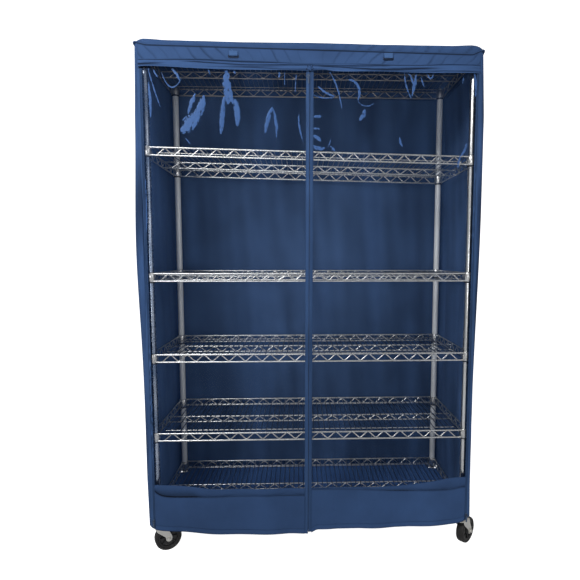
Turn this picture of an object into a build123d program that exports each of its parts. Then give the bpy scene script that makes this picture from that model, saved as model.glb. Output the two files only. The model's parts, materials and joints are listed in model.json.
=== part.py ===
from build123d import *
import os
from math import atan2, degrees

# A chrome wire shelving rack on four swivel casters, inside a zip-up fabric cover.
# Millimetres. +Z is up, +X is to the right seen from the front, and the front faces -Y.
# The origin is on the floor, below the middle of the four posts.

# ---------------------------------------------------------------- driving dimensions
# Posts
POST_SPAN_X = 1194.0  # left post axis to right post axis
POST_SPAN_Y = 432.0  # front post axis to rear post axis
POST_RADIUS = 12.7
POST_WALL = 1.2
POST_BOTTOM = 127.0
POST_LENGTH = 1778.0
GROOVE_PITCH = 25.4
GROOVE_WIDTH = 2.4
GROOVE_DEPTH = 0.5

# Shelves. Heights are those of the edge rods' axes, in groove pitches above the lowest shelf.
FIRST_SHELF_Z = 170.0
SHELF_PITCHES = (0, 12, 24, 36, 54, 68)
SLOPING_SHELF = 5  # its right end is clipped one groove lower than its left end
ROD_RADIUS = 3.1
ROD_OFFSET = 10.0  # edge rods run this far outside the post axes
TRUSS_HEIGHT = 28.0
MID_ROD_RADIUS = 2.8
MID_TRUSS_HEIGHT = 23.0
DECK_WIRE_RADIUS = 1.7
DECK_WIRE_COUNT = 56
DECK_END_MARGIN = 25.0  # post axis to the first deck wire
STAY_WIRE_INSET = 46.0  # the two lengthwise stay wires, in from the post axes
ZIGZAG_RADIUS = 2.1
ZIGZAG_BEND = 6.0
ZIGZAG_PITCH = 62.5
WELD_BITE = 0.3

# Collars and the split plastic sleeves that wedge them on the posts
COLLAR_RADIUS = 18.0
COLLAR_TOP = 4.0  # above the edge rods' axes
COLLAR_BOTTOM = -31.0
SLEEVE_BOTTOM = -36.0
SLEEVE_TOP_RADIUS = 14.6
SLEEVE_BOTTOM_RADIUS = 16.0
SLEEVE_GAP = 0.25
SLEEVE_HALF_ANGLE = 176.0

# Casters
WHEEL_RADIUS = 50.8
TYRE_WIDTH = 32.0
TYRE_BORE = 38.2
HUB_WIDTH = 36.8
CASTER_TRAIL = 35.0
AXLE_RADIUS = 4.75
RUNNING_GAP = 0.08
FORK_SHEET = 2.8
FORK_INNER = 19.0  # wheel's middle plane to a fork leg's inner face
CROWN_BOTTOM = 104.0
CROWN_RADIUS = 27.0
KINGPIN_RADIUS = 5.0
RACE_BOTTOM = 112.0
RACE_TOP = 115.0
RACE_RADIUS = 25.0
BALL_RADIUS = 2.0
BALL_RING_RADIUS = 17.0
BALL_COUNT = 14
STUD_RADIUS = 6.35
# Which way each wheel trails from its swivel, in degrees from +X towards +Y
TRAIL_ANGLES = {"front_left": 28.0, "front_right": 45.0, "rear_left": -116.0, "rear_right": 215.0}

# Cover
COVER_X = 625.0  # half width
COVER_Y = 245.0  # half depth
COVER_TOP = 1911.0
COVER_CORNER = 14.0
CLOTH = 2.0
VINYL = 1.0
SEAM_Z = 1884.0  # piped seam between the top panel and the walls
LID_GAP = 2.0  # piped seam's axis to the panel edges above and below it
PIPING_RADIUS = 1.6
VALANCE_BOTTOM = 1807.5
DOOR_TOP = 1805.0
HEM_Z = 80.0
CORNER_HEM_Z = 122.0  # the hem climbs to the corners, clear of the swivelling casters
HEM_RUN = 220.0  # corner to the start of the hem's climb
SKIRT_TOP = 257.5
FLAP_Z = 132.0  # the flap under the bottom shelf
FLAP_HALF = 560.0
FLAP_DEPTH = 300.0
SEWN_GAP = 0.4
ZIP_X = -10.0  # the centre zip hangs a little left of the middle
CENTRE_TAPE = 14.0
ZIP_STOP_Z = 1752.0  # above this the right centre tape is sewn to the cover, behind the slider
SIDE_RETURN = 15.0  # a side wall's return on the front face
SIDE_TAPE = 5.0
DOOR_EDGE_TAPE = 14.0

# Zip sliders and the roll-up straps
SLIDER_SIZE = (10.0, 4.0, 15.0)
SLIDER_GAP = 0.5
LUG_THICKNESS = 1.5
LUG_SPACING = 8.0
PULL_PIN_RADIUS = 0.8
PULL_PIN_OUT = 2.6  # slider face to the pull's pin
PULL_EYE_RADIUS = 2.0
PULL_LENGTH = 27.0
CENTRE_SLIDER_Z = 1788.0
SIDE_SLIDER_Z = 140.0
STRAP_X = 275.0
STRAP_WIDTH = 30.0
STRAP_TOP = 1877.0
STRAP_THICKNESS = 1.2
STRAP_BEND = 2.3  # middle radius of the fold round the buckle bar
BUCKLE_BAR_Z = 1855.0
BUCKLE_BAR_RADIUS = 1.2
BUCKLE_DROP = 9.0

# ---------------------------------------------------------------- derived values
POST_TOP = POST_BOTTOM + POST_LENGTH
POSTS = {
    "front_left": (-POST_SPAN_X / 2, -POST_SPAN_Y / 2),
    "front_right": (POST_SPAN_X / 2, -POST_SPAN_Y / 2),
    "rear_left": (-POST_SPAN_X / 2, POST_SPAN_Y / 2),
    "rear_right": (POST_SPAN_X / 2, POST_SPAN_Y / 2),
}
SHELF_Z = [FIRST_SHELF_Z + pitches * GROOVE_PITCH for pitches in SHELF_PITCHES]
RIB_DROP = FIRST_SHELF_Z - POST_BOTTOM - GROOVE_PITCH  # edge rods' axes to a sleeve's rib
ROD_X = POST_SPAN_X / 2 + ROD_OFFSET
ROD_Y = POST_SPAN_Y / 2 + ROD_OFFSET
DECK_Z = WELD_BITE - ROD_RADIUS - DECK_WIRE_RADIUS
MID_ROD_Z = DECK_Z - DECK_WIRE_RADIUS - MID_ROD_RADIUS + WELD_BITE
STAY_WIRE_Z = DECK_Z - 2 * DECK_WIRE_RADIUS + WELD_BITE
FRONT_FACE = -COVER_Y

os.makedirs("parts", exist_ok=True)


def save(name, *solids):
    """Write one node's solids to its own STEP file."""
    shapes = [solid for shape in solids for solid in shape.solids()]
    node = shapes[0] if len(shapes) == 1 else Compound(children=shapes)
    export_step(node, f"parts/{name}.step")


def block(x, y, z):
    """A box from its low and high limits on each axis."""
    box = Box(x[1] - x[0], y[1] - y[0], z[1] - z[0])
    return Pos((x[0] + x[1]) / 2, (y[0] + y[1]) / 2, (z[0] + z[1]) / 2) * box


def disc(radius, bottom, top):
    """An upright cylinder on the Z axis."""
    return Pos(0, 0, (bottom + top) / 2) * Cylinder(radius, top - bottom)


def wire_along_x(half, y, z, radius):
    return Pos(0, y, z) * Rot(0, 90, 0) * Cylinder(radius, 2 * half)


def wire_along_y(half, x, z, radius):
    return Pos(x, 0, z) * Rot(90, 0, 0) * Cylinder(radius, 2 * half)


def turned(points):
    """A solid of revolution about Z from (radius, height) points."""
    return revolve(Plane.XZ * make_face(Polyline(*points, close=True)), Axis.Z)


# ---------------------------------------------------------------- posts
def post():
    """A tube with a ring groove at every pitch, standing on its bottom end."""
    tube = disc(POST_RADIUS, POST_BOTTOM, POST_TOP)
    tube -= disc(POST_RADIUS - POST_WALL, POST_BOTTOM - 1, POST_TOP + 1)
    ring = Cylinder(POST_RADIUS + 1, GROOVE_WIDTH)
    ring -= Cylinder(POST_RADIUS - GROOVE_DEPTH, GROOVE_WIDTH)
    grooves = int(POST_LENGTH / GROOVE_PITCH)
    heights = [POST_BOTTOM + n * GROOVE_PITCH for n in range(1, grooves)]
    return tube - [Pos(0, 0, z) * ring for z in heights]


def post_cap():
    plug_radius = POST_RADIUS - POST_WALL - 0.2
    cap = disc(plug_radius, POST_TOP - 12, POST_TOP + 1)
    return cap + disc(POST_RADIUS + 0.6, POST_TOP + 0.2, POST_TOP + 2.6)


def post_insert():
    """The threaded bush in a post's bottom end that takes the caster's stud."""
    bush = disc(POST_RADIUS - POST_WALL - 0.2, POST_BOTTOM + 0.5, POST_BOTTOM + 40)
    return bush - disc(STUD_RADIUS + 0.25, POST_BOTTOM - 1, POST_BOTTOM + 41)


# ---------------------------------------------------------------- shelves
def zigzag(run, height):
    """A zigzag wire in the XZ plane below the X axis, centred on the Z axis."""
    legs = 2 * round(run / ZIGZAG_PITCH)
    step = run / legs
    corners = [(-run / 2 + n * step, 0 if n % 2 else -height) for n in range(legs + 1)]
    with BuildLine(Plane.XZ) as line:
        FilletPolyline(*corners, radius=ZIGZAG_BEND)
    path = line.wires()[0]
    section = Plane(origin=path @ 0, z_dir=path % 0) * Circle(ZIGZAG_RADIUS)
    return sweep(section, path=path)


def collar():
    taper = (SLEEVE_BOTTOM_RADIUS - SLEEVE_TOP_RADIUS) / (COLLAR_TOP - SLEEVE_BOTTOM)
    bore_top = SLEEVE_TOP_RADIUS + SLEEVE_GAP
    bore_bottom = bore_top + taper * (COLLAR_TOP - COLLAR_BOTTOM)
    return turned(
        [
            (bore_bottom, COLLAR_BOTTOM),
            (COLLAR_RADIUS, COLLAR_BOTTOM),
            (COLLAR_RADIUS, COLLAR_TOP - 1.5),
            (COLLAR_RADIUS - 1.5, COLLAR_TOP),
            (bore_top, COLLAR_TOP),
        ]
    )


def end_drops(drop):
    """How far the left and right collars sit above the shelf's middle."""
    return {-1: drop / 2, 1: -drop / 2}


def slope(drop):
    return Rot(0, degrees(atan2(drop, POST_SPAN_X)), 0)


def shelf_frame(drop):
    """Four collars joined by the top and bottom edge rods, as one welded solid."""
    reach = 14.9  # post axis to the end of a rod inside its collar
    rods = []
    for z in (0, -TRUSS_HEIGHT):
        for side in (-1, 1):
            rods.append(wire_along_x(POST_SPAN_X / 2 - reach, side * ROD_Y, z, ROD_RADIUS))
            rods.append(wire_along_y(POST_SPAN_Y / 2 - reach, side * ROD_X, z, ROD_RADIUS))
    rods = [slope(drop) * rod for rod in rods]
    lifts = end_drops(drop)
    collars = [
        Pos(x, y, lifts[-1 if x < 0 else 1]) * collar() for x, y in POSTS.values()
    ]
    return collars[0].fuse(*collars[1:], *rods)


def shelf_wires(drop):
    """The deck wires, their stay wires, the middle truss and the zigzags."""
    wires = []
    deck_run = POST_SPAN_X - 2 * DECK_END_MARGIN
    for n in range(DECK_WIRE_COUNT):
        x = deck_run * (n / (DECK_WIRE_COUNT - 1) - 0.5)
        wires.append(wire_along_y(ROD_Y + 1, x, DECK_Z, DECK_WIRE_RADIUS))
    stay_y = POST_SPAN_Y / 2 - STAY_WIRE_INSET
    for y in (-stay_y, stay_y):
        wires.append(wire_along_x(deck_run / 2 + 4, y, STAY_WIRE_Z, DECK_WIRE_RADIUS))
    for z in (MID_ROD_Z, MID_ROD_Z - MID_TRUSS_HEIGHT):
        wires.append(wire_along_x(ROD_X - ROD_RADIUS, 0, z, MID_ROD_RADIUS))
    inset = ROD_RADIUS + ZIGZAG_RADIUS - WELD_BITE
    long_zigzag = zigzag(18 * ZIGZAG_PITCH, TRUSS_HEIGHT)
    end_zigzag = Rot(0, 0, 90) * zigzag(6 * ZIGZAG_PITCH, TRUSS_HEIGHT)
    for side in (-1, 1):
        wires.append(Pos(0, side * (ROD_Y - inset), 0) * long_zigzag)
        wires.append(Pos(side * (ROD_X - inset), 0, 0) * end_zigzag)
    mid_inset = MID_ROD_RADIUS + ZIGZAG_RADIUS - WELD_BITE
    mid_zigzag = zigzag(18 * ZIGZAG_PITCH, MID_TRUSS_HEIGHT)
    wires.append(Pos(0, mid_inset, MID_ROD_Z) * mid_zigzag)
    return [slope(drop) * wire for wire in wires]


def sleeve_halves():
    """The two half shells that clip round a post at one collar."""
    inner = POST_RADIUS + 0.15
    rib = inner - GROOVE_DEPTH
    half_rib = GROOVE_WIDTH / 2 - 0.3
    outline = [
        (inner, SLEEVE_BOTTOM),
        (SLEEVE_BOTTOM_RADIUS, SLEEVE_BOTTOM),
        (SLEEVE_TOP_RADIUS, COLLAR_TOP),
        (inner, COLLAR_TOP),
        (inner, half_rib - RIB_DROP),
        (rib, half_rib - RIB_DROP),
        (rib, -half_rib - RIB_DROP),
        (inner, -half_rib - RIB_DROP),
    ]
    face = Plane.XZ * make_face(Polyline(*outline, close=True))
    half = revolve(face, Axis.Z, revolution_arc=SLEEVE_HALF_ANGLE)
    return [half, Rot(0, 0, 180) * half]


# ---------------------------------------------------------------- casters
def caster_stem():
    """Stud, hexagon, upper race and kingpin of one caster, fixed in the post."""
    stem = disc(STUD_RADIUS, RACE_TOP, POST_BOTTOM + 34)
    stem += Pos(0, 0, RACE_TOP) * extrude(RegularPolygon(11, 6), POST_BOTTOM - RACE_TOP - 0.3)
    stem += disc(RACE_RADIUS, RACE_BOTTOM, RACE_TOP)
    stem += disc(KINGPIN_RADIUS, CROWN_BOTTOM - 2.5, RACE_TOP)
    return stem + disc(KINGPIN_RADIUS + 3, CROWN_BOTTOM - 2.5, CROWN_BOTTOM - 0.3)


def bearing_balls():
    z = (RACE_BOTTOM + CROWN_BOTTOM + FORK_SHEET) / 2
    turn = 360 / BALL_COUNT
    ball = Pos(BALL_RING_RADIUS, 0, z) * Sphere(BALL_RADIUS)
    return [Rot(0, 0, n * turn) * ball for n in range(BALL_COUNT)]


def fork():
    """Bent sheet fork, trailing towards +X from the swivel axis on Z."""
    top = CROWN_BOTTOM + FORK_SHEET
    outer = FORK_INNER + FORK_SHEET
    crown = disc(CROWN_RADIUS, CROWN_BOTTOM, top)
    crown += block((-18, 28), (-outer, outer), (CROWN_BOTTOM, top))
    eye = Pos(CASTER_TRAIL, WHEEL_RADIUS) * Circle(12)
    outline = Polyline(
        (-18, top),
        (28, top),
        (CASTER_TRAIL + 12, WHEEL_RADIUS),
        (CASTER_TRAIL - 12, WHEEL_RADIUS),
        close=True,
    )
    leg = extrude(Plane.XZ * (make_face(outline) + eye), FORK_SHEET)
    body = crown + Pos(0, outer, 0) * leg + Pos(0, -FORK_INNER, 0) * leg
    body -= disc(KINGPIN_RADIUS + RUNNING_GAP, CROWN_BOTTOM - 1, top + 1)
    return body - axle_rod(AXLE_RADIUS + 0.15, outer + 1)


def axle_rod(radius, half):
    return Pos(CASTER_TRAIL, 0, WHEEL_RADIUS) * Rot(90, 0, 0) * Cylinder(radius, 2 * half)


def axle():
    """Hexagon bolt through the fork, and its nut."""
    seat = FORK_INNER + FORK_SHEET + 0.2
    hexagon = extrude(Plane.XZ * RegularPolygon(8, 6), 6)
    at_axle = Pos(CASTER_TRAIL, 0, WHEEL_RADIUS)
    bolt = axle_rod(AXLE_RADIUS, seat + 8) + at_axle * Pos(0, -seat, 0) * hexagon
    bolt -= at_axle * Pos(0, -seat - 9, 0) * Box(40, 6, 40)
    nut = at_axle * Pos(0, seat + 6, 0) * hexagon - axle_rod(AXLE_RADIUS + 0.1, seat + 8)
    return [bolt, nut]


def wheel_profile(points):
    """A body turned about the axle from (radius, half width) points."""
    mirrored = [(radius, -half) for radius, half in reversed(points)]
    body = turned(points + mirrored)
    return Pos(CASTER_TRAIL, 0, WHEEL_RADIUS) * Rot(90, 0, 0) * body


def wheel_core():
    bore = AXLE_RADIUS + RUNNING_GAP
    rim = TYRE_BORE - 0.1
    return wheel_profile(
        [(bore, HUB_WIDTH / 2), (13, HUB_WIDTH / 2), (13, 6), (32, 6), (32, 14), (rim, 14)]
    )


def tyre():
    half = TYRE_WIDTH / 2
    return wheel_profile(
        [
            (TYRE_BORE, half),
            (WHEEL_RADIUS - 4.5, half),
            (WHEEL_RADIUS - 1.3, half - 1.3),
            (WHEEL_RADIUS, half - 4.5),
        ]
    )


# ---------------------------------------------------------------- cover
def rounded_wall(inset, bottom, top):
    """An upright block with the cover's rounded plan, drawn in by inset."""
    radius = COVER_CORNER - inset
    plan = RectangleRounded(2 * (COVER_X - inset), 2 * (COVER_Y - inset), radius)
    return Pos(0, 0, bottom) * extrude(plan, top - bottom)


def cover_top():
    lid = rounded_wall(0, SEAM_Z + LID_GAP, COVER_TOP)
    return lid - rounded_wall(CLOTH, SEAM_Z, COVER_TOP - CLOTH)


def cover_piping():
    cord = rounded_wall(0, SEAM_Z - PIPING_RADIUS, SEAM_Z + PIPING_RADIUS)
    return cord - rounded_wall(2 * PIPING_RADIUS, SEAM_Z - 5, SEAM_Z + 5)


def above_hem():
    """All the space above the hem line."""

    def prism(plane, half):
        margin = 5.0
        past, past_z = half + margin, CORNER_HEM_Z + margin * (CORNER_HEM_Z - HEM_Z) / HEM_RUN
        right = [(half - HEM_RUN, HEM_Z), (past, past_z), (past, COVER_TOP)]
        left = [(-x, z) for x, z in reversed(right)]
        profile = make_face(Polyline(*right, *left, close=True))
        return extrude(plane * profile, 2 * COVER_X, both=True)

    return prism(Plane.XZ, COVER_X) + prism(Plane.YZ, COVER_Y)


ABOVE_HEM = above_hem()


def wall_ring():
    top = SEAM_Z - LID_GAP
    return rounded_wall(0, HEM_Z, top) - rounded_wall(CLOTH, HEM_Z - 1, top + 1)


def cover_side(side):
    """A side wall with its rounded front and rear returns."""
    edge = COVER_X - SIDE_RETURN
    limits = sorted((side * edge, side * (COVER_X + 1)))
    return wall_ring() & block(limits, (-COVER_Y - 1, COVER_Y + 1), (0, COVER_TOP)) & ABOVE_HEM


def front_panel(x, z, thickness):
    """A flat piece in the front face, centred on the cloth's thickness."""
    middle = FRONT_FACE + CLOTH / 2
    panel = block(x, (middle - thickness / 2, middle + thickness / 2), z)
    return panel & ABOVE_HEM if z[0] == HEM_Z else panel


def cover_back():
    """The back wall, and the flap sewn inside it that lies under the bottom shelf."""
    half = COVER_X - SIDE_RETURN - SEWN_GAP
    wall = block((-half, half), (COVER_Y - CLOTH, COVER_Y), (HEM_Z, SEAM_Z - LID_GAP))
    rear = COVER_Y - CLOTH - SEWN_GAP
    flap = block((-FLAP_HALF, FLAP_HALF), (rear - FLAP_DEPTH, rear), (FLAP_Z - CLOTH, FLAP_Z))
    return wall & ABOVE_HEM, flap


def cover_valance():
    half = COVER_X - SIDE_RETURN - SEWN_GAP
    return front_panel((-half, half), (VALANCE_BOTTOM, SEAM_Z - LID_GAP), CLOTH)


def door_columns(side):
    """The (near, far) X limits of a door's pieces, from the centre zip outwards."""
    edge = side * (COVER_X - SIDE_RETURN - SEWN_GAP)
    side_tape_end = edge - side * SIDE_TAPE
    outer = side_tape_end - side * 2 * SEWN_GAP
    inner = ZIP_X + side * SEWN_GAP
    tape_end = inner + side * CENTRE_TAPE
    edge_start = outer - side * DOOR_EDGE_TAPE
    return {
        "side_tape": sorted((side_tape_end, edge)),
        "edge_tape": sorted((edge_start, outer)),
        "panel": sorted((tape_end + side * SEWN_GAP, edge_start - side * SEWN_GAP)),
        "centre_tape": sorted((inner, tape_end)),
        "zip_line": side_tape_end - side * SEWN_GAP,
    }


def save_door(name, side):
    columns = door_columns(side)
    centre_top = ZIP_STOP_Z if side > 0 else DOOR_TOP
    centre_tape = front_panel(columns["centre_tape"], (HEM_Z, centre_top), CLOTH)
    edge_tape = front_panel(columns["edge_tape"], (HEM_Z, DOOR_TOP), CLOTH)
    save(f"{name}_zip_tapes", centre_tape, edge_tape)
    save(f"{name}_window", front_panel(columns["panel"], (SKIRT_TOP + SEWN_GAP, DOOR_TOP), VINYL))
    save(f"{name}_skirt", front_panel(columns["panel"], (HEM_Z, SKIRT_TOP), CLOTH))


# ---------------------------------------------------------------- zip sliders and straps
def zip_slider(x, z):
    """A slider in front of its zip, with two lugs and the pin that holds the pull."""
    width, depth, height = SLIDER_SIZE
    face = FRONT_FACE - SLIDER_GAP
    body = block((-width / 2, width / 2), (face - depth, face), (-height / 2, height / 2))
    front = face - depth
    pin_y = front - PULL_PIN_OUT
    half_gap = LUG_SPACING / 2
    for side in (-1, 1):
        limits = sorted((side * half_gap, side * (half_gap + LUG_THICKNESS)))
        body += block(limits, (pin_y - 1.6, front + 0.5), (-1.6, 1.6))
    pin = Pos(0, pin_y, 0) * Rot(0, 90, 0) * Cylinder(PULL_PIN_RADIUS, LUG_SPACING + 1)
    return Pos(x, 0, z) * (body + pin)


def zip_pull(x, z):
    """A flat pull with an eye that turns on the slider's pin."""
    pin_y = FRONT_FACE - SLIDER_GAP - SLIDER_SIZE[1] - PULL_PIN_OUT
    half = LUG_SPACING / 2 - 1
    across = Pos(0, pin_y, 0) * Rot(0, 90, 0)
    tab = block((-half, half), (pin_y - 0.7, pin_y + 0.7), (-PULL_LENGTH, 0))
    pull = tab + across * Cylinder(PULL_EYE_RADIUS, 2 * half)
    return Pos(x, 0, z) * (pull - across * Cylinder(PULL_PIN_RADIUS + 0.1, 2 * half + 2))


def strap():
    """Webbing that hangs from the valance and folds forward round the buckle's bar."""
    back = FRONT_FACE - 0.9 - STRAP_THICKNESS / 2
    bar_y = back - STRAP_BEND
    front = bar_y - STRAP_BEND
    with BuildLine(Plane.YZ) as line:
        Line((back, STRAP_TOP), (back, BUCKLE_BAR_Z))
        ThreePointArc(
            (back, BUCKLE_BAR_Z), (bar_y, BUCKLE_BAR_Z - STRAP_BEND), (front, BUCKLE_BAR_Z)
        )
        Line((front, BUCKLE_BAR_Z), (front, BUCKLE_BAR_Z + 14))
    path = line.wires()[0]
    start = Plane(origin=path @ 0, x_dir=(1, 0, 0), z_dir=path % 0)
    return sweep(start * Rectangle(STRAP_WIDTH, STRAP_THICKNESS), path=path)


def buckle():
    """A wire-frame ladder buckle: the bar in the strap's fold and a loop below it."""
    bar_y = FRONT_FACE - 0.9 - STRAP_THICKNESS / 2 - STRAP_BEND
    reach = STRAP_WIDTH / 2 + 2
    low = BUCKLE_BAR_Z - BUCKLE_DROP
    bars = [Pos(0, bar_y, z) * Rot(0, 90, 0) for z in (BUCKLE_BAR_Z, low)]
    loop = [place * Cylinder(BUCKLE_BAR_RADIUS, 2 * reach) for place in bars]
    middle = (BUCKLE_BAR_Z + low) / 2
    height = BUCKLE_DROP + 2 * BUCKLE_BAR_RADIUS
    for x in (-reach, reach):
        loop.append(Pos(x, bar_y, middle) * Box(2.4, 2.4, height))
    return loop[0].fuse(*loop[1:])


# ---------------------------------------------------------------- write every node
a_post = post()
for corner, (x, y) in POSTS.items():
    save(f"post_{corner}", Pos(x, y, 0) * a_post)
save("post_caps", *[Pos(x, y, 0) * post_cap() for x, y in POSTS.values()])
save("post_inserts", *[Pos(x, y, 0) * post_insert() for x, y in POSTS.values()])

shelf_parts = {drop: (shelf_frame(drop), shelf_wires(drop)) for drop in (0, GROOVE_PITCH)}
halves = sleeve_halves()
sleeves = []
for number, level in enumerate(SHELF_Z, start=1):
    drop = GROOVE_PITCH if number == SLOPING_SHELF else 0
    middle_z = level - drop / 2
    frame, wires = shelf_parts[drop]
    save(f"shelf_{number}_frame", Pos(0, 0, middle_z) * frame)
    save(f"shelf_{number}_wires", *[Pos(0, 0, middle_z) * wire for wire in wires])
    for x, y in POSTS.values():
        lift = end_drops(drop)[-1 if x < 0 else 1]
        sleeves += [Pos(x, y, middle_z + lift) * half for half in halves]
save("shelf_sleeves", *sleeves)

save("caster_stems", *[Pos(x, y, 0) * caster_stem() for x, y in POSTS.values()])
balls = bearing_balls()
save("caster_bearing_balls", *[Pos(x, y, 0) * ball for x, y in POSTS.values() for ball in balls])
caster_parts = {"fork": [fork()], "axle": axle(), "wheel": [wheel_core()], "tyre": [tyre()]}
for corner, (x, y) in POSTS.items():
    place = Pos(x, y, 0) * Rot(0, 0, TRAIL_ANGLES[corner])
    for part_name, solids in caster_parts.items():
        save(f"caster_{corner}_{part_name}", *[place * solid for solid in solids])

save("cover_top", cover_top())
save("cover_piping", cover_piping())
save("cover_left_side", cover_side(-1))
save("cover_right_side", cover_side(1))
save("cover_back", *cover_back())
save("cover_valance", cover_valance())
side_tapes = [
    front_panel(door_columns(side)["side_tape"], (HEM_Z, DOOR_TOP), CLOTH) for side in (-1, 1)
]
zip_stop = front_panel(
    door_columns(1)["centre_tape"], (ZIP_STOP_Z + SEWN_GAP, DOOR_TOP), CLOTH
)
save("cover_zip_tapes", *side_tapes, zip_stop)
save_door("door_left", -1)
save_door("door_right", 1)

zips = {
    "centre": (ZIP_X, CENTRE_SLIDER_Z),
    "left": (door_columns(-1)["zip_line"], SIDE_SLIDER_Z),
    "right": (door_columns(1)["zip_line"], SIDE_SLIDER_Z),
}
for zip_name, (x, z) in zips.items():
    save(f"zip_{zip_name}_slider", zip_slider(x, z))
    save(f"zip_{zip_name}_pull", zip_pull(x, z))

for side_name, x in (("left", -STRAP_X), ("right", STRAP_X)):
    save(f"strap_{side_name}", Pos(x, 0, 0) * strap())
    save(f"strap_{side_name}_buckle", Pos(x, 0, 0) * buckle())
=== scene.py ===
import json
import math

import bpy
from mathutils import Matrix, Vector, noise


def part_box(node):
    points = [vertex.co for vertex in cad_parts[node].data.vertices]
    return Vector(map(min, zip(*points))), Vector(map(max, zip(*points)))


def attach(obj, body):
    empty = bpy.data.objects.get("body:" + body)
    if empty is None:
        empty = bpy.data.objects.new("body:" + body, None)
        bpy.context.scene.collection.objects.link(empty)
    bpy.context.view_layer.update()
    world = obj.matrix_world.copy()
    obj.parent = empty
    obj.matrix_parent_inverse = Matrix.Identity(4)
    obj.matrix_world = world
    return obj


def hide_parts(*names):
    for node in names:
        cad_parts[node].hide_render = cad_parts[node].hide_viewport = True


# The looks of a chrome wire rack on casters in a zip-up fabric cover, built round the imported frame.
# Metres. +Z is up, the front faces -Y.

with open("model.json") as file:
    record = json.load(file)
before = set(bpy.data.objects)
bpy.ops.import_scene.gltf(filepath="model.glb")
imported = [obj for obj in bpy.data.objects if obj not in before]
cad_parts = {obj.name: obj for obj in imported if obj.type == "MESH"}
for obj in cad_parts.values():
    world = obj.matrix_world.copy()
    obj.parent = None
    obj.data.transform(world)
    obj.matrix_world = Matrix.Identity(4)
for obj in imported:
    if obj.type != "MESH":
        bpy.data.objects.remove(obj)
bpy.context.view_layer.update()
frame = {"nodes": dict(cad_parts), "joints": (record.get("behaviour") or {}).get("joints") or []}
MM = 0.001

# ---------------------------------------------------------------- places, from the frame
CORNERS = ("front_left", "front_right", "rear_left", "rear_right")
JOINTS = {joint["name"]: joint for joint in frame["joints"]}
POST = {c: Vector(JOINTS[f"caster_{c}_swivel"]["pos_m"]) for c in CORNERS}
AXLE = {c: Vector(JOINTS[f"caster_{c}_spin"]["pos_m"]) for c in CORNERS}
SPAN_X = POST["front_right"].x - POST["front_left"].x
SPAN_Y = POST["rear_left"].y - POST["front_left"].y
POST_LOW, POST_HIGH = (corner.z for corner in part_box("post_front_left"))
POST_RADIUS = 12.7 * MM
GROOVE_PITCH = 25.4 * MM

SHELVES = range(1, 7)
COLLAR_TOP = 4.0 * MM
COLLAR_BOTTOM = -31.0 * MM
COLLAR_RADIUS = 18.0 * MM
ROD_RADIUS = 3.1 * MM
ROD_OFFSET = 10.0 * MM
TRUSS_HEIGHT = 28.0 * MM
MID_ROD_RADIUS = 2.8 * MM
MID_TRUSS_HEIGHT = 23.0 * MM
DECK_RADIUS = 1.7 * MM
DECK_COUNT = 56
DECK_MARGIN = 25.0 * MM
STAY_INSET = 46.0 * MM
ZIGZAG_RADIUS = 2.1 * MM
ZIGZAG_PITCH = 62.5 * MM
LONG_RUN, SHORT_RUN = 18 * ZIGZAG_PITCH, 6 * ZIGZAG_PITCH
ROD_GAP = 13.5 * MM  # between a rod's end and the post's middle
LEVEL_TOLERANCE = 5.0 * MM  # a shelf that drops less than this is level

WHEEL_RADIUS = AXLE["front_left"].z
TRAIL = (AXLE["front_left"] - POST["front_left"]).to_2d().length  # axle behind the kingpin
LID_LOW, LID_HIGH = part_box("cover_top")
WALL_X, WALL_Y = LID_HIGH.x, LID_HIGH.y
SEAM_Z = 1884.0 * MM
VALANCE_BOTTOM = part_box("cover_valance")[0].z
DOOR_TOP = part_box("door_left_window")[1].z
SKIRT_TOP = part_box("door_left_skirt")[1].z
HEM_Z = 78.0 * MM
HEM_RUN = 380.0 * MM
HEM_RISE_RIGHT = 16.0 * MM
EDGE_X = 598.0 * MM  # where the windows meet the corner binding
ZIP_X = (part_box("zip_centre_slider")[0].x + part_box("zip_centre_slider")[1].x) / 2
CORNER_RADIUS = 18.0 * MM
DRAG_PITCH = 50.0 * MM
CLOTH = 1.0 * MM
PRESSED = 0.3 * MM  # how deep crossing wires are welded into each other
BOX_FACES = [(3, 2, 1, 0), (4, 5, 6, 7), (0, 1, 5, 4), (1, 2, 6, 5), (2, 3, 7, 6), (3, 0, 4, 7)]
SLOTS = {}  # the record's material slot of each material made below
WORLD_LIGHT = 0.375  # how strongly the white surround lights the object


# ---------------------------------------------------------------- small helpers
def mm(points):
    """Points given in millimetres, in metres."""
    return [tuple(value * MM for value in point) for point in points]


def shift(x, y, z):
    return Matrix.Translation((x, y, z))


def soft_noise(x, y, z):
    """Smooth noise between about -1 and 1."""
    return noise.noise(Vector((x, y, z)))


def bell(value, middle, width):
    """1 at the middle, falling to 0 on both sides."""
    return math.exp(-(((value - middle) / width) ** 2))


def smooth_step(low, high, value):
    t = min(1.0, max(0.0, (value - low) / (high - low)))
    return t * t * (3 - 2 * t)


# ---------------------------------------------------------------- mesh building
class Shape:
    """Vertices and faces being gathered for one piece."""

    def __init__(self):
        self.verts = []
        self.faces = []
        self.shade = []

    def add(self, verts, faces, shade=None):
        base = len(self.verts)
        self.verts.extend(verts)
        self.shade.extend(shade or [0.0] * len(verts))
        self.faces.extend(tuple(base + i for i in face) for face in faces)

    def moved(self, matrix):
        out = Shape()
        out.verts = [matrix @ Vector(v) for v in self.verts]
        out.faces = list(self.faces)
        out.shade = list(self.shade)
        return out

    def join(self, other):
        self.add(other.verts, other.faces, other.shade)


def point_values(mesh, name, values):
    attribute = mesh.attributes.new(name, "FLOAT", "POINT")
    attribute.data.foreach_set("value", values)


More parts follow.
